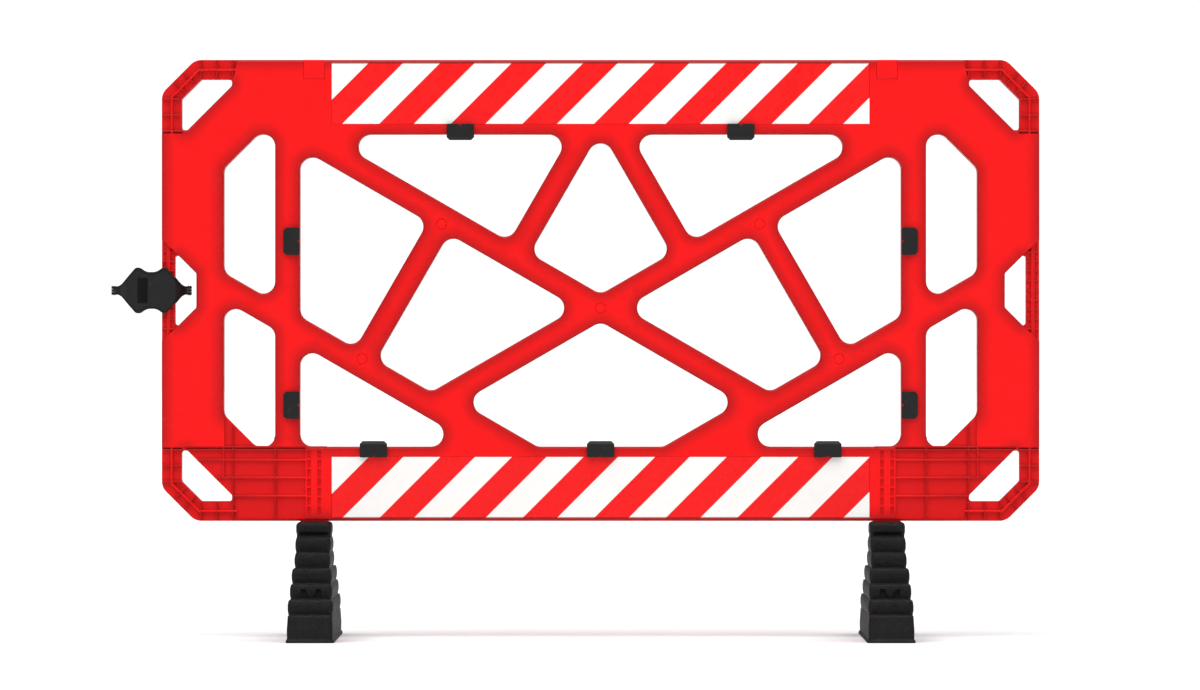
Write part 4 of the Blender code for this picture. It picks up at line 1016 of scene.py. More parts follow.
def hand_bar_ribs(plan):
    """The middle rib that follows each corner hand bar, and the ribs across it."""
    s = plan.s
    floor, top = FACE + s.hand_recess + 0.001, FACE + RIB_RELIEF
    middle = s.hand_band * 0.51
    bend = s.corner_cut + middle * math.tan(math.radians(22.5))
    far = HAND_REACH + 0.0085
    pitch = 0.0273
    line = corner_points([(middle, far), (middle, bend), (bend, middle), (far, middle)])
    crossings = []
    for k in range(3):
        along = bend + 0.003 + pitch * k
        crossings.append((corner_points([(middle, along)])[0], (1.0, 0.0)))
        crossings.append((corner_points([(along, middle)])[0], (0.0, 1.0)))
    spread = (bend - middle) / 3
    for k in (1, 2):
        place = corner_points([(middle + spread * k, bend - spread * k)])[0]
        crossings.append((place, (-ROOT, ROOT)))
    made = []
    for mirror in (1, -1):
        for flip in (1, -1):
            turn = lambda p: (mirror * p[0], PANEL_MIDDLE + flip * (p[1] - PANEL_MIDDLE))
            made.append(rib([turn(p) for p in line], s.rib * 1.15, floor, top))
            for place, (dx, dz) in crossings:
                made.append(cross_rib(plan, turn(place), (mirror * dx, flip * dz), s.rib * 0.85, floor, top))
    return made


def side_bar_ribs(plan):
    """The broad middle rib and the fine cross ribs of the two hand bars at mid height."""
    s = plan.s
    made = []
    outline = np.array(side_recess())
    for mirror in (1, -1):
        middle = mirror * (-HALF + SIDE_BAR_WIDTH / 2)
        ends = [(middle, PANEL_MIDDLE - 0.094), (middle, PANEL_MIDDLE + 0.094)]
        made.append(rib(ends, 0.0075, SIDE_FLOOR + 0.001, -SIDE_BAR_HALF_DEPTH))
        limit = outline if mirror == 1 else np.array(mirrored([tuple(p) for p in outline]))
        for k in range(-5, 6):
            place = (middle, PANEL_MIDDLE + 0.0165 * k)
            low, top = SIDE_FLOOR + 0.001, -SIDE_BAR_HALF_DEPTH + 0.0006
            made.append(cross_rib(plan, place, (1.0, 0.0), s.rib, low, top, [limit], 0.0004))
    return made


def low_field_ribs(plan):
    """The level and upright ribs of the fields beside the feet."""
    s = plan.s
    bottom = TOP - s.height
    floor, top = FACE + s.low_recess + 0.001, FACE + RIB_RELIEF
    inner = -LOW_RECESS_INNER + 0.001
    made = []
    for drop in LOW_RIB_DROPS:
        z = s.field_bottom - drop
        start = -HALF + 0.0012 if drop == 0 else inner - plan.distance((inner, z), (-1.0, 0.0)) + 0.0006
        made.append([(start, z), (inner, z)])
    short_end = s.field_bottom - LOW_RIB_DROPS[2]
    made.append([(-SLOT_OUTER, short_end), (-SLOT_OUTER, SLOT_OUTER - SLOT_LOW_CUT - 0.003)])
    made.append([(-SLOT_INNER, bottom + 0.002), (-SLOT_INNER, s.field_bottom + 0.017)])
    return [rib(path, s.rib, floor, top) for line in made for path in both(line)]


def back_ribs(plan):
    """Stiffening ribs behind the rails, the side columns and along the struts."""
    s = plan.s
    low, top = FACE + s.skin - 0.001, BACK - BACK_RIB_RELIEF
    lines = []
    for k in range(-4, 4):
        x = 0.115 * (k + 0.5)
        lines.append(((x, TOP - 0.060), (0.0, 1.0)))
        lines.append(((x, TOP - s.height + 0.060), (0.0, 1.0)))
    for k in range(1, 7):
        z = s.field_bottom + 0.010 + (s.field_top - s.field_bottom) * k / 7
        lines += [((sign * (HALF - 0.085), z), (1.0, 0.0)) for sign in (-1, 1)]
    struts = ((-30, 0.0), (60, INNER_STRUT), (60, OUTER_STRUT), (-30, LOWER_STRUT))
    for angle, offset in struts:
        normal = np.array(across(angle))
        along = np.array([normal[1], -normal[0]])
        origin = normal * (normal[1] * s.hub_height + offset)
        for t in np.arange(-0.85, 0.85, 0.062):
            place = origin + along * t
            across_field = abs(place[0]) < s.field_half - RIB_CLEAR
            up_field = s.field_bottom + RIB_CLEAR < place[1] < s.field_top - RIB_CLEAR
            if not (across_field and up_field) or plan.in_hole(place):
                continue
            if max(plan.distance(place, normal), plan.distance(place, -normal)) < s.member_width * 0.6:
                lines.append((tuple(place), tuple(normal)))
                if angle != -30 or offset:
                    lines.append(((-place[0], place[1]), (-normal[0], normal[1])))
    made = []
    for place, direction in lines:
        if not plan.in_hole(place):
            made.append(cross_rib(plan, place, direction, s.rib, low, top, None, 0.0012, -1))
    return made


def socket_bodies(s):
    """The boss and tube of each foot socket."""
    bottom = TOP - s.height
    boss_outline = box_outline(-0.0235, 0.0235, FACE + 0.002, BACK - 0.002)
    boss = np.array(rounded_points(boss_outline, 0.003, 4))
    bodies = []
    roof = bottom + SOCKET_DEPTH
    for x in (PANEL_X - SOCKET_X, PANEL_X + SOCKET_X):
        bodies.append(swept(boss + [x, 0.0], BOSS_LOW, bottom + PAST))
        tube = [(SOCKET_TUBE, bottom + 0.0015), (SOCKET_TUBE, roof + SOCKET_ROOF - 0.001)]
        tube += [(SOCKET_TUBE - 0.001, roof + SOCKET_ROOF)]
        bodies.append(turned(tube, (x, 0, 0)))
    return bodies


def socket_bores(s):
    """The bore of each foot socket, with a narrower hole through its roof."""
    roof = TOP - s.height + SOCKET_DEPTH
    bore = [(SOCKET_BORE, BOSS_LOW - PAST), (SOCKET_BORE, roof)]
    bore += [(STUB_BORE, roof), (STUB_BORE, roof + SOCKET_ROOF + PAST)]
    return [turned(bore, (PANEL_X + side * SOCKET_X, 0, 0)) for side in (-1, 1)]


def seat_outline(box, grow=0.0):
    """The outline in the panel's plane of a frame box, moved out by grow."""
    low, high = box
    return box_outline(low.x - PANEL_X - grow, high.x - PANEL_X + grow, low.z - grow, high.z + grow)


def stem_places():
    """Each retainer's (suffix, x, z) in the world, from its push-on washer."""
    places = {}
    for name in sorted(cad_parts):
        if name.startswith("push_washer_"):
            low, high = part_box(name)
            places[name.removeprefix("push_washer_")] = ((low.x + high.x) / 2, (low.z + high.z) / 2)
    return places


def front_cuts(s):
    """What is let into the face: ladders, sheet seats, cap seats, stem holes and gate marks."""
    bottom = TOP - s.height
    pockets = []
    for k in range(LADDER_RUNGS):
        low = bottom + 0.0115 + LADDER_PITCH * k
        for x in (-SOCKET_X - 0.012, -SOCKET_X + 0.0055):
            pocket = rounded_points(box_outline(x, x + 0.0065, low, low + LADDER_PITCH - s.rib), 0.0012, 3)
            pockets += both(pocket)
    seats = [rounded_points(seat_outline(box, 2 * FIT), 0.0022, 4) for box in (UPPER_SHEET, LOWER_SHEET)]
    sheet_back = max(UPPER_SHEET[1].y, LOWER_SHEET[1].y) + FIT
    caps = [rounded_points(seat_outline(box, FIT), 0.0016, 3) for box in CAP_BOXES.values()]
    stem = [(0.0033, NEAR), (0.0033, FACE + 0.009)]
    stems = [turned(stem, (x, 0, z), 20, ALONG_Y) for x, z in stem_places().values()]
    deep = FACE + MARK_DEPTH
    groove = [(0.0078, FACE - 0.001), (0.0096, FACE - 0.001), (0.0092, deep), (0.0082, deep)]
    marks = [turned(groove, (PANEL_X + x, 0, z), 48, ALONG_Y, ring=True) for x, z in GATE_MARKS]
    cut = [prisms(pockets, NEAR, FACE + LADDER_POCKET), prisms(seats, NEAR, sheet_back)]
    return cut + [prisms(caps, NEAR, FACE + CAP_DEPTH), *stems, *marks]


def gap_to(points, loops):
    """The distance from each point to the nearest loop, in the panel's plane."""
    nearest = np.full(len(points), np.inf)
    for loop in loops:
        along = np.roll(loop, -1, 0) - loop
        gap = points[:, None, :] - loop[None, :, :]
        t = np.clip((gap * along).sum(-1) / (along**2).sum(-1), 0, 1)
        nearest = np.minimum(nearest, np.linalg.norm(gap - t[..., None] * along, axis=-1).min(1))
    return nearest


def mark_surface(piece, plan):
    """Stores how near each point is to an edge, and whether it lies on a stepped-back floor."""
    s = plan.s
    place = positions(piece.data)
    depths = (s.hand_recess, s.low_recess, SIDE_FLOOR - FACE, LADDER_POCKET, MARK_DEPTH)
    recess = (np.abs(place[:, 1:2] - FACE - np.array(depths)) < 1e-5).any(1)
    gap = gap_to(place[:, ::2] - [PANEL_X, 0.0], [plan.outer_loop, *plan.hole_loops])
    # The material turns this edge value into painted shade.
    mark(piece.data, "edge", np.clip(1 - gap / EDGE_REACH, 0, 1) * np.where(recess, FLOOR_EDGE, 1.0))
    mark(piece.data, "recess", recess)


class BARRIER_OT_panel(bpy.types.Operator):
    """Builds the moulding: lips and walls carried along every edge, stepped-back fields and their ribs"""

    bl_idname = "barrier.panel"
    bl_label = "Panel"

    def execute(self, context):
        s = context.scene.barrier_panel
        plan = Plan(s)
        piece = mesh_object("panel_moulding", shell_surface(plan), 1e-5)
        hand = four_corners(hand_recess(s))
        low, side = both(low_recess(s)), both(side_recess())
        hand_floor, low_floor = FACE + s.hand_recess, FACE + s.low_recess
        ladder_backs = [
            box_outline(x - 0.0215, x + 0.0215, TOP - s.height + 0.001, s.field_bottom + 0.001)
            for x in (-SOCKET_X, SOCKET_X)
        ]
        cap_backs = [
            box_outline(low[0] - s.wall, right[0] + s.wall, low[1] - s.wall, TOP - INTO_WALL)
            for low, right, *_ in map(seat_outline, CAP_BOXES.values())
        ]
        standing = [
            floor_body(plan, "hand_floors", hand, hand_floor + s.skin),
            floor_body(plan, "low_floors", low, low_floor + s.skin),
            floor_body(plan, "side_floors", both(side_recess(s.wall)), SIDE_FLOOR + s.skin),
            prisms(ladder_backs, FACE + 0.0011, FACE + LADDER_POCKET + s.skin),
            prisms(cap_backs, FACE + 0.0012, FACE + CAP_DEPTH + s.skin),
            *socket_bodies(s),
        ]
        cut = [
            prisms(hand, NEAR, hand_floor),
            prisms(low, NEAR, low_floor),
            prisms(side, NEAR, SIDE_FLOOR),
            prisms(side, SIDE_BAR_HALF_DEPTH, FAR),
            *socket_bores(s),
            *front_cuts(s),
        ]
        shaped(piece, ("UNION", joined(standing)), ("DIFFERENCE", joined(cut)))
        ribs = hand_bar_ribs(plan) + side_bar_ribs(plan) + low_field_ribs(plan) + back_ribs(plan)
        added(piece, joined(ribs))
        mark_surface(piece, plan)
        smooth(piece)
        dressed(piece, moulded_red(s), "panel", "barrier", "panel")
        return {"FINISHED"}


# ---------------------------------------------------------------- sheets and caps


def sheet_surface(box):
    """A thin sheet with rolled edges and a faint ripple.

    Point (u, v): v runs up the front and back down behind; the front stands out by the thickness,
    falls away in a quarter circle at each edge, and ripples by a tenth of a millimetre.
    """
    low, high = box
    thick = high.y - low.y
    edge = thick * 0.8

    def places(start, end, count):
        between = start + edge + np.linspace(0, 1, count) * (end - start - 2 * edge)
        return np.concatenate([[start, start + 0.3 * edge], between, [end - 0.3 * edge, end]])

    x, z = places(low.x, high.x, 93), places(low.z, high.z, 13)

    def fall(value, start, end):
        inward = np.minimum(value - start, end - value)
        return np.sqrt(np.clip(1 - (1 - np.clip(inward / edge, 0, 1)) ** 2, 0, 1))

    rise = fall(x, low.x, high.x)[:, None] * fall(z, low.z, high.z)[None, :]
    ripple = 0.00005 * (1 + np.sin(x[:, None] * 47.0 + 2.0 * np.sin(z[None, :] * 61.0)))
    front_y = high.y - (thick - ripple * rise) * (0.35 + 0.65 * rise)
    front = np.stack(np.broadcast_arrays(x[:, None], front_y, z[None, :]), -1)
    flat = np.full((len(x), len(z)), high.y)
    back = np.stack(np.broadcast_arrays(x[:, None], flat, z[None, ::-1]), -1)
    return grid(np.concatenate([front, back], 1), caps=True)


class BARRIER_OT_sheets(bpy.types.Operator):
    """Builds the two reflective striped sheets in their seats"""

    bl_idname = "barrier.sheets"
    bl_label = "Striped sheets"

    def execute(self, context):
        s = context.scene.barrier_sheets
        for name, box in (("upper_striped_sheet", UPPER_SHEET), ("lower_striped_sheet", LOWER_SHEET)):
            low, high = box
            piece = smooth(mesh_object(name.replace("sheet", "sheeting"), sheet_surface(box)), 50.0)
            # The painted shadow line runs along the top of the upper sheet and the bottom of the lower one.
            shadow_line_z = high.z if name.startswith("upper") else low.z
            finish = striped_sheet(s, name.replace("sheet", "sheeting_face"), (low.x, high.z), shadow_line_z)
            dressed(piece, finish, "striped_sheet", "barrier", name)
        return {"FINISHED"}


def plug(corners, radius, steps, offsets, depths):
    """A closed body: at each depth its outline is the rounded one, moved out by that depth's offset."""
    points = carried(corners, radius, steps, np.array(offsets), np.array(depths))
    return grid(points.swapaxes(0, 1), caps=True)


class BARRIER_OT_caps(bpy.types.Operator):
    """Builds the two square caps that close the lamp sockets"""

    bl_idname = "barrier.caps"
    bl_label = "Lamp socket caps"

    def execute(self, context):
        for side, (low, high) in CAP_BOXES.items():
            front, back = low.y, high.y
            t = np.linspace(0, math.pi / 2, 5)
            edge = 0.0012
            offsets = np.concatenate([-edge * (1 - np.sin(t)), [0.0, -0.0008]])
            depths = np.concatenate([front + edge * (1 - np.cos(t)), [back - 0.0008, back]])
            outline = seat_outline((low, high))
            piece = mesh_object(f"{side}_lamp_cap", plug(outline, 0.0020, 5, offsets, depths))
            # Painted shade: the moulded red darkens over the cap's rounded edge by this value.
            mark(piece.data, "edge", np.clip((positions(piece.data)[:, 1] - front) / edge, 0, 1) * 0.8)
            smooth(piece, 50.0)
            finish = moulded_red(context.scene.barrier_panel)
            dressed(piece, finish, "cap", "barrier", f"{side}_lamp_socket_cap")
        return {"FINISHED"}


# ---------------------------------------------------------------- feet


STEP_HALF_WIDTHS = (0.0385, 0.0360, 0.0342, 0.0306, 0.0304)
BASE_HALF_WIDTH = 0.0407
BLOCK_HALF_WIDTH = 0.0302
BLOCK_HEIGHT = 0.027
FIRST_STEP_BACK = 0.030  # from a foot's end to its first step
FOOT_CORNER = 0.0075
LUG_DEPTH = 0.0060


def foot_stations(s, top):
    """(half length, half width, height) up a foot: a stack of steps with bulged sides, corners eased."""
    block_bottom = top - BLOCK_HEIGHT
    end = s.length / 2
    rise = (block_bottom - s.end_height) / s.steps
    run = (end - FIRST_STEP_BACK - s.block_half) / s.steps
    base, width = BASE_HALF_WIDTH, BLOCK_HALF_WIDTH
    rows = [(end, base, 0.0), (end, base, 0.004), (end - 0.003, 0.0385, 0.006)]
    rows += [(end - 0.003, 0.0390, 0.020), (end - 0.006, 0.0375, s.end_height)]
    widths = np.interp(np.linspace(0, 4, s.steps), range(5), STEP_HALF_WIDTHS)
    for k, half_width in enumerate(widths):
        low = s.end_height + rise * k
        half_length = end - FIRST_STEP_BACK - run * k
        rows.append((half_length - 0.0010, half_width - 0.0016, low + 0.0008))
        rows.append((half_length, half_width, low + rise * 0.35))
        rows.append((half_length, half_width, low + rise * 0.70))
        rows.append((half_length - 0.0015, half_width - 0.0016, low + rise))
    block = s.block_half
    rows += [
        (block - 0.004, width - 0.0010, block_bottom + 0.0008),
        (block - 0.004, width - 0.0010, block_bottom + 0.006),
        (block, width, block_bottom + 0.010),
        (block, width, top - 0.006),
        (block - 0.002, width - 0.0018, top - 0.0018),
        (block - 0.006, width - 0.0060, top),
    ]
    return filleted(rows, 0.0022, 3)


def foot_surface(s, centre_x, top):
    """Rounded rectangles stacked up the foot: point (level, u) goes round with the corner's radius."""
    rows = foot_stations(s, top)
    corner, steps = FOOT_CORNER, 6
    t = np.linspace(0, math.pi / 2, steps + 1)
    angle = (np.arange(4)[:, None] * math.pi / 2 + t[None, :]).ravel()
    quadrant = np.repeat(np.arange(4), steps + 1)
    side_x = np.where((quadrant == 0) | (quadrant == 3), 1.0, -1.0)
    side_y = np.where(quadrant < 2, 1.0, -1.0)
    x = centre_x + side_x[None, :] * (rows[:, 1:2] - corner) + corner * np.cos(angle)[None, :]
    y = side_y[None, :] * (rows[:, 0:1] - corner) + corner * np.sin(angle)[None, :]
    z = np.broadcast_to(rows[:, 2:3], x.shape)
    return grid(np.stack([x, y, z], -1), caps=True)


def lug_pockets(s, x, top):
    """Two shallow pockets in the second step at each end, with a wedge-shaped lug left between them."""
    rows = foot_stations(s, top)
    height = s.end_height + (top - BLOCK_HEIGHT - s.end_height) / s.steps * 1.45
    reach = np.interp(height, rows[:, 2], rows[:, 0])
    outline = np.array([(0.0035, -0.0070), (0.0170, -0.0070), (0.0170, 0.0075), (0.0095, 0.0075)])
    return [
        swept(outline * [side, 1] + [x, height], end * (reach - LUG_DEPTH), end * (reach + PAST), ALONG_Y)
        for end in (-1, 1)
        for side in (-1, 1)
    ]


class BARRIER_OT_feet(bpy.types.Operator):
    """Builds the two stepped rubber feet with their post bores"""

    bl_idname = "barrier.feet"
    bl_label = "Feet"

    def execute(self, context):
        s = context.scene.barrier_rubber
        for side, (low, high) in FOOT_BOXES.items():
            x, top = (low.x + high.x) / 2, high.z
            piece = mesh_object(f"{side}_rubber_foot", foot_surface(s, x, top))
            bore = [(0.016, -PAST), (0.016, 0.018), (0.0063, 0.018)]
            bore += [(0.0063, 0.070), (0.0153, 0.070), (0.0153, top + PAST)]
            shaped(piece, ("DIFFERENCE", joined([turned(bore, (x, 0, 0)), *lug_pockets(s, x, top)])))
            smooth(piece, 38.0)
            dressed(piece, crumb_rubber(s), "foot", f"{side}_foot", f"{side}_foot")
        return {"FINISHED"}


# ---------------------------------------------------------------- link

LINK_X = (OUTER_PIN[0].x + OUTER_PIN[1].x + INNER_PIN[0].x + INNER_PIN[1].x) / 4
LINK_Z = (OUTER_PIN[0].z + OUTER_PIN[1].z) / 2
TIP_X = (INNER_PIN[0].x + INNER_PIN[1].x - OUTER_PIN[0].x - OUTER_PIN[1].x) / 4
TIP_HALF = 0.007
KNUCKLE = 0.0044
PARTING = 0.0002
LINK_HALF_DEPTH = 0.0245
LINK_SHELL = 0.003


def both_ends(right):
    """A profile given from the right tip inwards, with its mirror image before it."""
    return [(-x, v) for x, v in right] + [(x, v) for x, v in reversed(right)]


def link_half_heights():
    """(x, half height) along the link: narrow tips, two rounded shoulders and a hollow waist."""
    tip = [(TIP_X, TIP_HALF), (0.057, TIP_HALF), (0.0505, 0.0108)]
    shoulder = [(0.0262, 0.0390), (0.0202, 0.0393), (0.0125, 0.0335), (0.0060, 0.0314)]
    return filleted(both_ends(tip + shoulder), 0.0042, 4)


def link_half_depths():
    """(x, half depth) along the link: a flat front that slopes back to a neck at each tip."""
    right = [(TIP_X, 0.0036), (0.0575, 0.0050), (0.0408, LINK_HALF_DEPTH)]
    return filleted(both_ends(right), 0.0030, 4)


def link_shell_surface(s, facing):
    """One half of the link: point (x, t) goes over the rim, across the sunk front plate and back.

    At each x the section is a flat-backed bar, its outer corners rounded, with the plate between the
    two rims let in; the rim fades out where the section is too low to hold it.
    """
    heights, depths = link_half_heights(), link_half_depths()
    stations = [heights[:, 0], depths[:, 0], np.linspace(-0.04, 0.04, 17)]
    x = np.unique(np.round(np.concatenate(stations), 7))
    h = np.interp(x, heights[:, 0], heights[:, 1])[:, None]
    d = np.interp(x, depths[:, 0], depths[:, 1])[:, None]
    corner = np.minimum(0.0016, np.minimum(h, d - PARTING) * 0.4)
    rim = np.minimum(s.link_rim, h * 0.35)
    sunk = 0.0012 * np.clip((h - 0.009) / 0.010, 0, 1)
    ease = 0.0006
    t = np.linspace(0, math.pi / 2, 4)[None, :]
    up = [
        (np.full_like(h, PARTING), h),
        (d - corner + corner * np.sin(t), h - corner + corner * np.cos(t)),
        (d, h - rim),
        (d - sunk, h - rim - ease),
    ]
    half_depth = np.concatenate([np.broadcast_to(a, (len(x), np.shape(a)[1])) for a, _ in up], 1)
    half_height = np.concatenate([np.broadcast_to(b, (len(x), np.shape(b)[1])) for _, b in up], 1)
    depth = np.concatenate([half_depth, half_depth[:, ::-1]], 1) * -facing
    height = np.concatenate([half_height, -half_height[:, ::-1]], 1)
    points = np.stack([np.broadcast_to(x[:, None] + LINK_X, depth.shape), depth, height + LINK_Z], -1)
    return grid(points, caps=True)


def upright_prism(outline, low, high):
    """A closed prism from an outline in plan, about the link's middle."""
    return swept(np.array(outline) + [LINK_X, 0], low + LINK_Z, high + LINK_Z)


def link_changes(facing):
    """The spaces for the two bars, the front window and the clearances at the knuckles."""
    deep = LINK_HALF_DEPTH - LINK_SHELL
    changes = []
    for side in (-1, 1):
        corners = [(0.0065, PAST), (0.0065, -deep), (0.0395, -deep), (0.0535, -0.0045), (0.0535, PAST)]
        outline = [(side * x, y * facing) for x, y in corners]
        changes.append(("DIFFERENCE", upright_prism(outline, -0.06, 0.06)))
    if facing == 1:
        window = rounded_points(box_outline(-0.0231, -0.0054, -0.0217, 0.0217), 0.0012, 3)
        window = [(x + LINK_X - PANEL_X, z + LINK_Z) for x, z in window]
        changes.append(("DIFFERENCE", prism(window, -0.04, -0.0125)))
    clear = [(KNUCKLE + 0.0006, -2 * TIP_HALF), (KNUCKLE + 0.0006, 2 * TIP_HALF)]
    for tip in (-1, 1):
        changes.append(("DIFFERENCE", turned(clear, (LINK_X + tip * TIP_X, 0, LINK_Z), 32)))
    return changes


def knuckle_surfaces(facing):
    """The hinge knuckles that this half carries at each tip, joined to it by a short web."""
    end = TIP_HALF + 0.0004
    spans = [(-0.0022, 0.0022)] if facing == 1 else [(0.0026, end), (-end, -0.0026)]
    bodies = []
    for tip in (-1, 1):
        centre = (LINK_X + tip * TIP_X, 0, LINK_Z)
        for low, high in spans:
            profile = [(KNUCKLE - 0.0007, low), (KNUCKLE, low + 0.0006)]
            profile += [(KNUCKLE, high - 0.0006), (KNUCKLE - 0.0007, high)]
            bodies.append(turned(profile, centre, 40))
            inner, outer = TIP_X - 0.0085, TIP_X - 0.0015
            web = [(tip * inner, -0.0004 * facing), (tip * outer, -0.0004 * facing)]
            web += [(tip * outer, -0.0041 * facing), (tip * inner, -0.0044 * facing)]
            bodies.append(upright_prism(web, low + 0.0001, high - 0.0001))
    return joined(bodies)


def mark_rim(piece, s):
    """Stores which points lie on the rim round the plate, by their height under the link's outline."""
    place = positions(piece.data)
    heights = link_half_heights()
    under = np.interp(place[:, 0] - LINK_X, heights[:, 0], heights[:, 1]) - np.abs(place[:, 2] - LINK_Z)
    mark(piece.data, "edge", under < s.link_rim + 0.0002)


class BARRIER_OT_link(bpy.types.Operator):
    """Builds the two halves of the swinging link"""

    bl_idname = "barrier.link"
    bl_label = "Link"

    def execute(self, context):
        s = context.scene.barrier_fittings
        for name, facing in (("front", 1), ("back", -1)):
            piece = mesh_object(f"link_{name}_half", link_shell_surface(s, facing))
            shaped(piece, *link_changes(facing))
            added(piece, knuckle_surfaces(facing))
            mark_rim(piece, s)
            smooth(piece, 36.0)
            dressed(piece, black_nylon(s), "link", "link", f"link_{name}_shell")
        return {"FINISHED"}


# ---------------------------------------------------------------- retainers and fasteners

RETAINER_TURNS = {"top": 0.0, "bottom": math.pi, "left": -math.pi / 2, "right": math.pi / 2}
PLATE_BACK = -0.004  # the plate's back, from the panel's face
PLATE_FRONT = -0.009
STEM_RADIUS = 0.003
STEM_TAIL = 0.0065


def placed(surface, angle, x, z):
    """A surface about a retainer's stem, turned by an angle in the panel's plane and put on its stem."""
    points, faces = surface
    c, s = math.cos(angle), math.sin(angle)
    out = points.copy()
    out[:, 0] = c * points[:, 0] - s * points[:, 2] + x
    out[:, 2] = s * points[:, 0] + c * points[:, 2] + z
    out[:, 1] = points[:, 1] + FACE
    return out, faces


def centred(surface):
    """A surface made in the panel's plane, moved to be about X = 0."""
    points, faces = surface
    points = points.copy()
    points[:, 0] -= PANEL_X
    return points, faces


def retainer_piece(name, s):
    """A plate with eased edges, a ramped lip and a notch, on a hub and stem."""
    half, lip, rear, cut = 0.0235, -0.019, 0.009, 0.005
    corners = [(-half + cut, lip), (half - cut, lip), (half, lip + cut), (half, rear)]
    corners += [(-half, rear), (-half, lip + cut)]
    r = s.retainer_round
    t = np.linspace(0, math.pi / 2, 4)
    offsets = np.concatenate([-r * (1 - np.sin(t)), -r * (1 - np.cos(t))])
    depths = np.concatenate([PLATE_FRONT + r * (1 - np.cos(t)), PLATE_BACK - r * (1 - np.sin(t))])
    piece = mesh_object(name, centred(plug(corners, 0.0016, 4, offsets, depths)))
    slot = rounded_points(box_outline(-0.002, 0.002, rear - 0.003, rear + 0.003), 0.0006, 2)
    ramp = [(-0.03, lip - 0.002), (-0.03, lip + 0.0052), (0.03, lip + 0.0052), (0.03, lip - 0.002)]
    drop = PLATE_FRONT + np.array([0.0033, 0.0002, 0.0002, 0.0033])
    wedge = swept(ramp, PLATE_FRONT - 0.01, drop, ALONG_Y)
    shaped(piece, ("DIFFERENCE", swept(slot, -0.02, 0.0, ALONG_Y)), ("DIFFERENCE", wedge))
    stem = [(0.006, PLATE_BACK - 0.002), (0.006, -FIT - 0.0004), (0.0056, -FIT), (STEM_RADIUS, -FIT)]
    stem += [(STEM_RADIUS, STEM_TAIL - 0.0006), (STEM_RADIUS - 0.0006, STEM_TAIL)]
    added(piece, turned(stem, (0, 0, 0), 28, ALONG_Y))
    return piece


def push_washer_surface():
    """A dished star washer: its hole's radius swings six times round, and it rises towards the stem."""
    sides = 72
    angle = np.arange(sides) * math.tau / sides
    teeth = 0.0034 + 0.0008 * (0.5 - 0.5 * np.cos(6 * angle))
    outer = np.full(sides, 0.0052)
    low, high = 0.0033, 0.0043
    rise = 0.0007
    radius = np.stack([teeth, outer, outer, teeth])
    levels = (low + rise, low, high - 0.0004, high + rise - 0.0004)
    height = np.broadcast_to(np.array(levels)[:, None], radius.shape)
    points = np.stack([radius * np.cos(angle), height, radius * np.sin(angle)], -1)
    return grid(points, wrap_rows=True)


class BARRIER_OT_retainers(bpy.types.Operator):
    """Builds the nine retainers and the push-on washers behind them"""

    bl_idname = "barrier.retainers"
    bl_label = "Retainers"

    def execute(self, context):
        s = context.scene.barrier_fittings
        for suffix, (x, z) in stem_places().items():
            angle = RETAINER_TURNS[suffix.split("_")[0]]
            body = f"retainer_{suffix}"
            piece = retainer_piece(f"turn_button_{suffix}", s)
            moved(piece, angle, x, z)
            smooth(piece, 40.0)
            dressed(piece, black_nylon(s), "retainer", body, body)
            washer = mesh_object(f"star_washer_{suffix}", placed(push_washer_surface(), angle, x, z))
            smooth(washer, 40.0)
            dressed(washer, zinc_plate(s), "fastener", body, f"push_washer_{suffix}")
        return {"FINISHED"}


def moved(piece, angle, x, z):
    """Turns and moves a finished mesh onto its stem, as placed() does a surface."""
    points, _ = placed((positions(piece.data), []), angle, x, z)
    piece.data.vertices.foreach_set("co", points.ravel())
    piece.data.update()


class BARRIER_OT_fasteners(bpy.types.Operator):
    """Finishes the fasteners and posts that keep the frame's own shapes"""

    bl_idname = "barrier.fasteners"
    bl_label = "Posts and fasteners"

    def execute(self, context):
        s = context.scene.barrier_fittings
        for name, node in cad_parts.items():
            steel = name.endswith(("_ring", "_bolt", "_bolt_washer", "_pin"))
            if steel or name.endswith("_post"):
                node.data.materials.clear()
                node.data.materials.append(zinc_plate(s) if steel else black_nylon(s))
        return {"FINISHED"}


# ---------------------------------------------------------------- stage


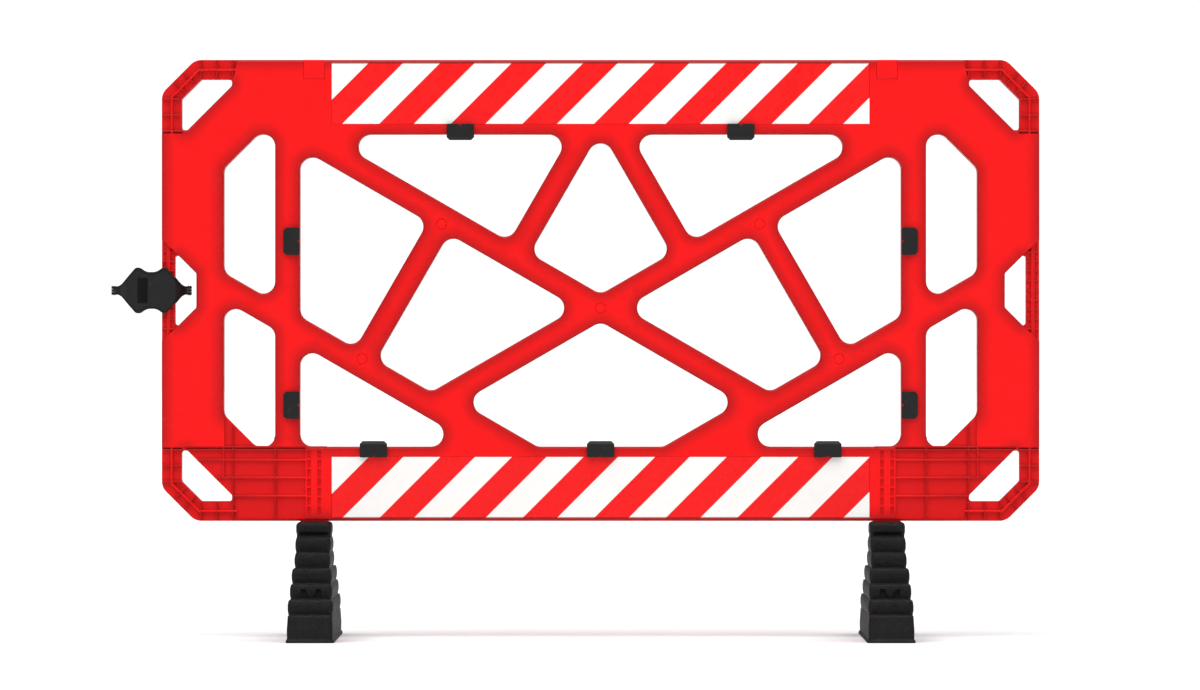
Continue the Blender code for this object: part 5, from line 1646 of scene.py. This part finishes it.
class BARRIER_OT_stage(bpy.types.Operator):
    """Builds the pale floor, the soft lights and the camera"""

    bl_idname = "barrier.stage"
    bl_label = "Stage"

    def execute(self, context):
        s = context.scene.barrier_stage
        scene = context.scene
        reach = 80.0
        corners = box_outline(-reach, reach, -reach, reach)
        mesh = bpy.data.meshes.new("floor")
        mesh.from_pydata([(x, y, 0.0) for x, y in corners], [], [(0, 1, 2, 3)])
        floor = bpy.data.objects.new("floor", mesh)
        scene.collection.objects.link(floor)
        pale = Nodes("pale_floor")
        look = {"Base Color": (0.94, 0.94, 0.94, 1.0), "Roughness": 0.9, "Specular IOR Level": 0.0}
        pale.feed(pale.shader, look)
        mesh.materials.append(pale.material)
        for name, strength, spread, azimuth, elevation in (
            ("key", s.key, 50.0, -26.0, 50.0),
            ("fill", s.fill, 70.0, 36.0, 38.0),
            ("top", 1.9, 90.0, 0.0, 85.0),
            ("rim", 0.7, 60.0, 160.0, 40.0),
        ):
            light = bpy.data.lights.new(name, "SUN")
            light.energy = strength
            light.angle = math.radians(spread)
            sun = bpy.data.objects.new(name, light)
            a, e = math.radians(azimuth), math.radians(elevation)
            away = Vector((math.sin(a) * math.cos(e), -math.cos(a) * math.cos(e), math.sin(e)))
            sun.rotation_euler = away.to_track_quat("Z", "Y").to_euler()
            sun.location = away * 5.0
            scene.collection.objects.link(sun)
        world = bpy.data.worlds.new("studio")
        world.use_nodes = True
        tree = world.node_tree
        background = tree.nodes["Background"]
        path = tree.nodes.new("ShaderNodeLightPath")
        level = tree.nodes.new("ShaderNodeMapRange")
        level.inputs["To Min"].default_value = 0.20
        level.inputs["To Max"].default_value = 1.1
        tree.links.new(path.outputs["Is Camera Ray"], level.inputs["Value"])
        tree.links.new(level.outputs["Result"], background.inputs["Strength"])
        background.inputs["Color"].default_value = (1.0, 1.0, 1.0, 1.0)
        scene.world = world
        scene.view_settings.view_transform = "Standard"
        camera_data = bpy.data.cameras.new("camera")
        camera_data.lens = s.lens
        camera_data.clip_end = 200.0
        camera = bpy.data.objects.new("camera", camera_data)
        camera.location = (PANEL_X - 0.001, FACE - s.distance, s.eye_height)
        camera.rotation_euler = (math.radians(90), 0.0, 0.0)
        scene.collection.objects.link(camera)
        scene.camera = camera
        return {"FINISHED"}


# ---------------------------------------------------------------- add-on


OPERATORS = (
    BARRIER_OT_panel,
    BARRIER_OT_sheets,
    BARRIER_OT_caps,
    BARRIER_OT_feet,
    BARRIER_OT_link,
    BARRIER_OT_retainers,
    BARRIER_OT_fasteners,
    BARRIER_OT_stage,
)


class BARRIER_PT_sidebar(bpy.types.Panel):
    """Lists the barrier's pieces and their settings"""

    bl_idname = "BARRIER_PT_sidebar"
    bl_label = "Works Barrier"
    bl_space_type = "VIEW_3D"
    bl_region_type = "UI"
    bl_category = "Barrier"

    def draw(self, context):
        for operator in OPERATORS:
            self.layout.operator(operator.bl_idname)
        for name in SETTINGS:
            settings = getattr(context.scene, name)
            box = self.layout.box()
            for key in settings.__annotations__:
                box.prop(settings, key)


def register():
    for group in SETTINGS.values():
        bpy.utils.register_class(group)
    for name, group in SETTINGS.items():
        setattr(bpy.types.Scene, name, PointerProperty(type=group))
    for cls in (*OPERATORS, BARRIER_PT_sidebar):
        bpy.utils.register_class(cls)


def unregister():
    for cls in (BARRIER_PT_sidebar, *reversed(OPERATORS)):
        bpy.utils.unregister_class(cls)
    for name in SETTINGS:
        delattr(bpy.types.Scene, name)
    for group in SETTINGS.values():
        bpy.utils.unregister_class(group)


def main():
    register()
    for operator in OPERATORS:
        group, call = operator.bl_idname.split(".")
        getattr(getattr(bpy.ops, group), call)()


if __name__ == "__main__":
    main()
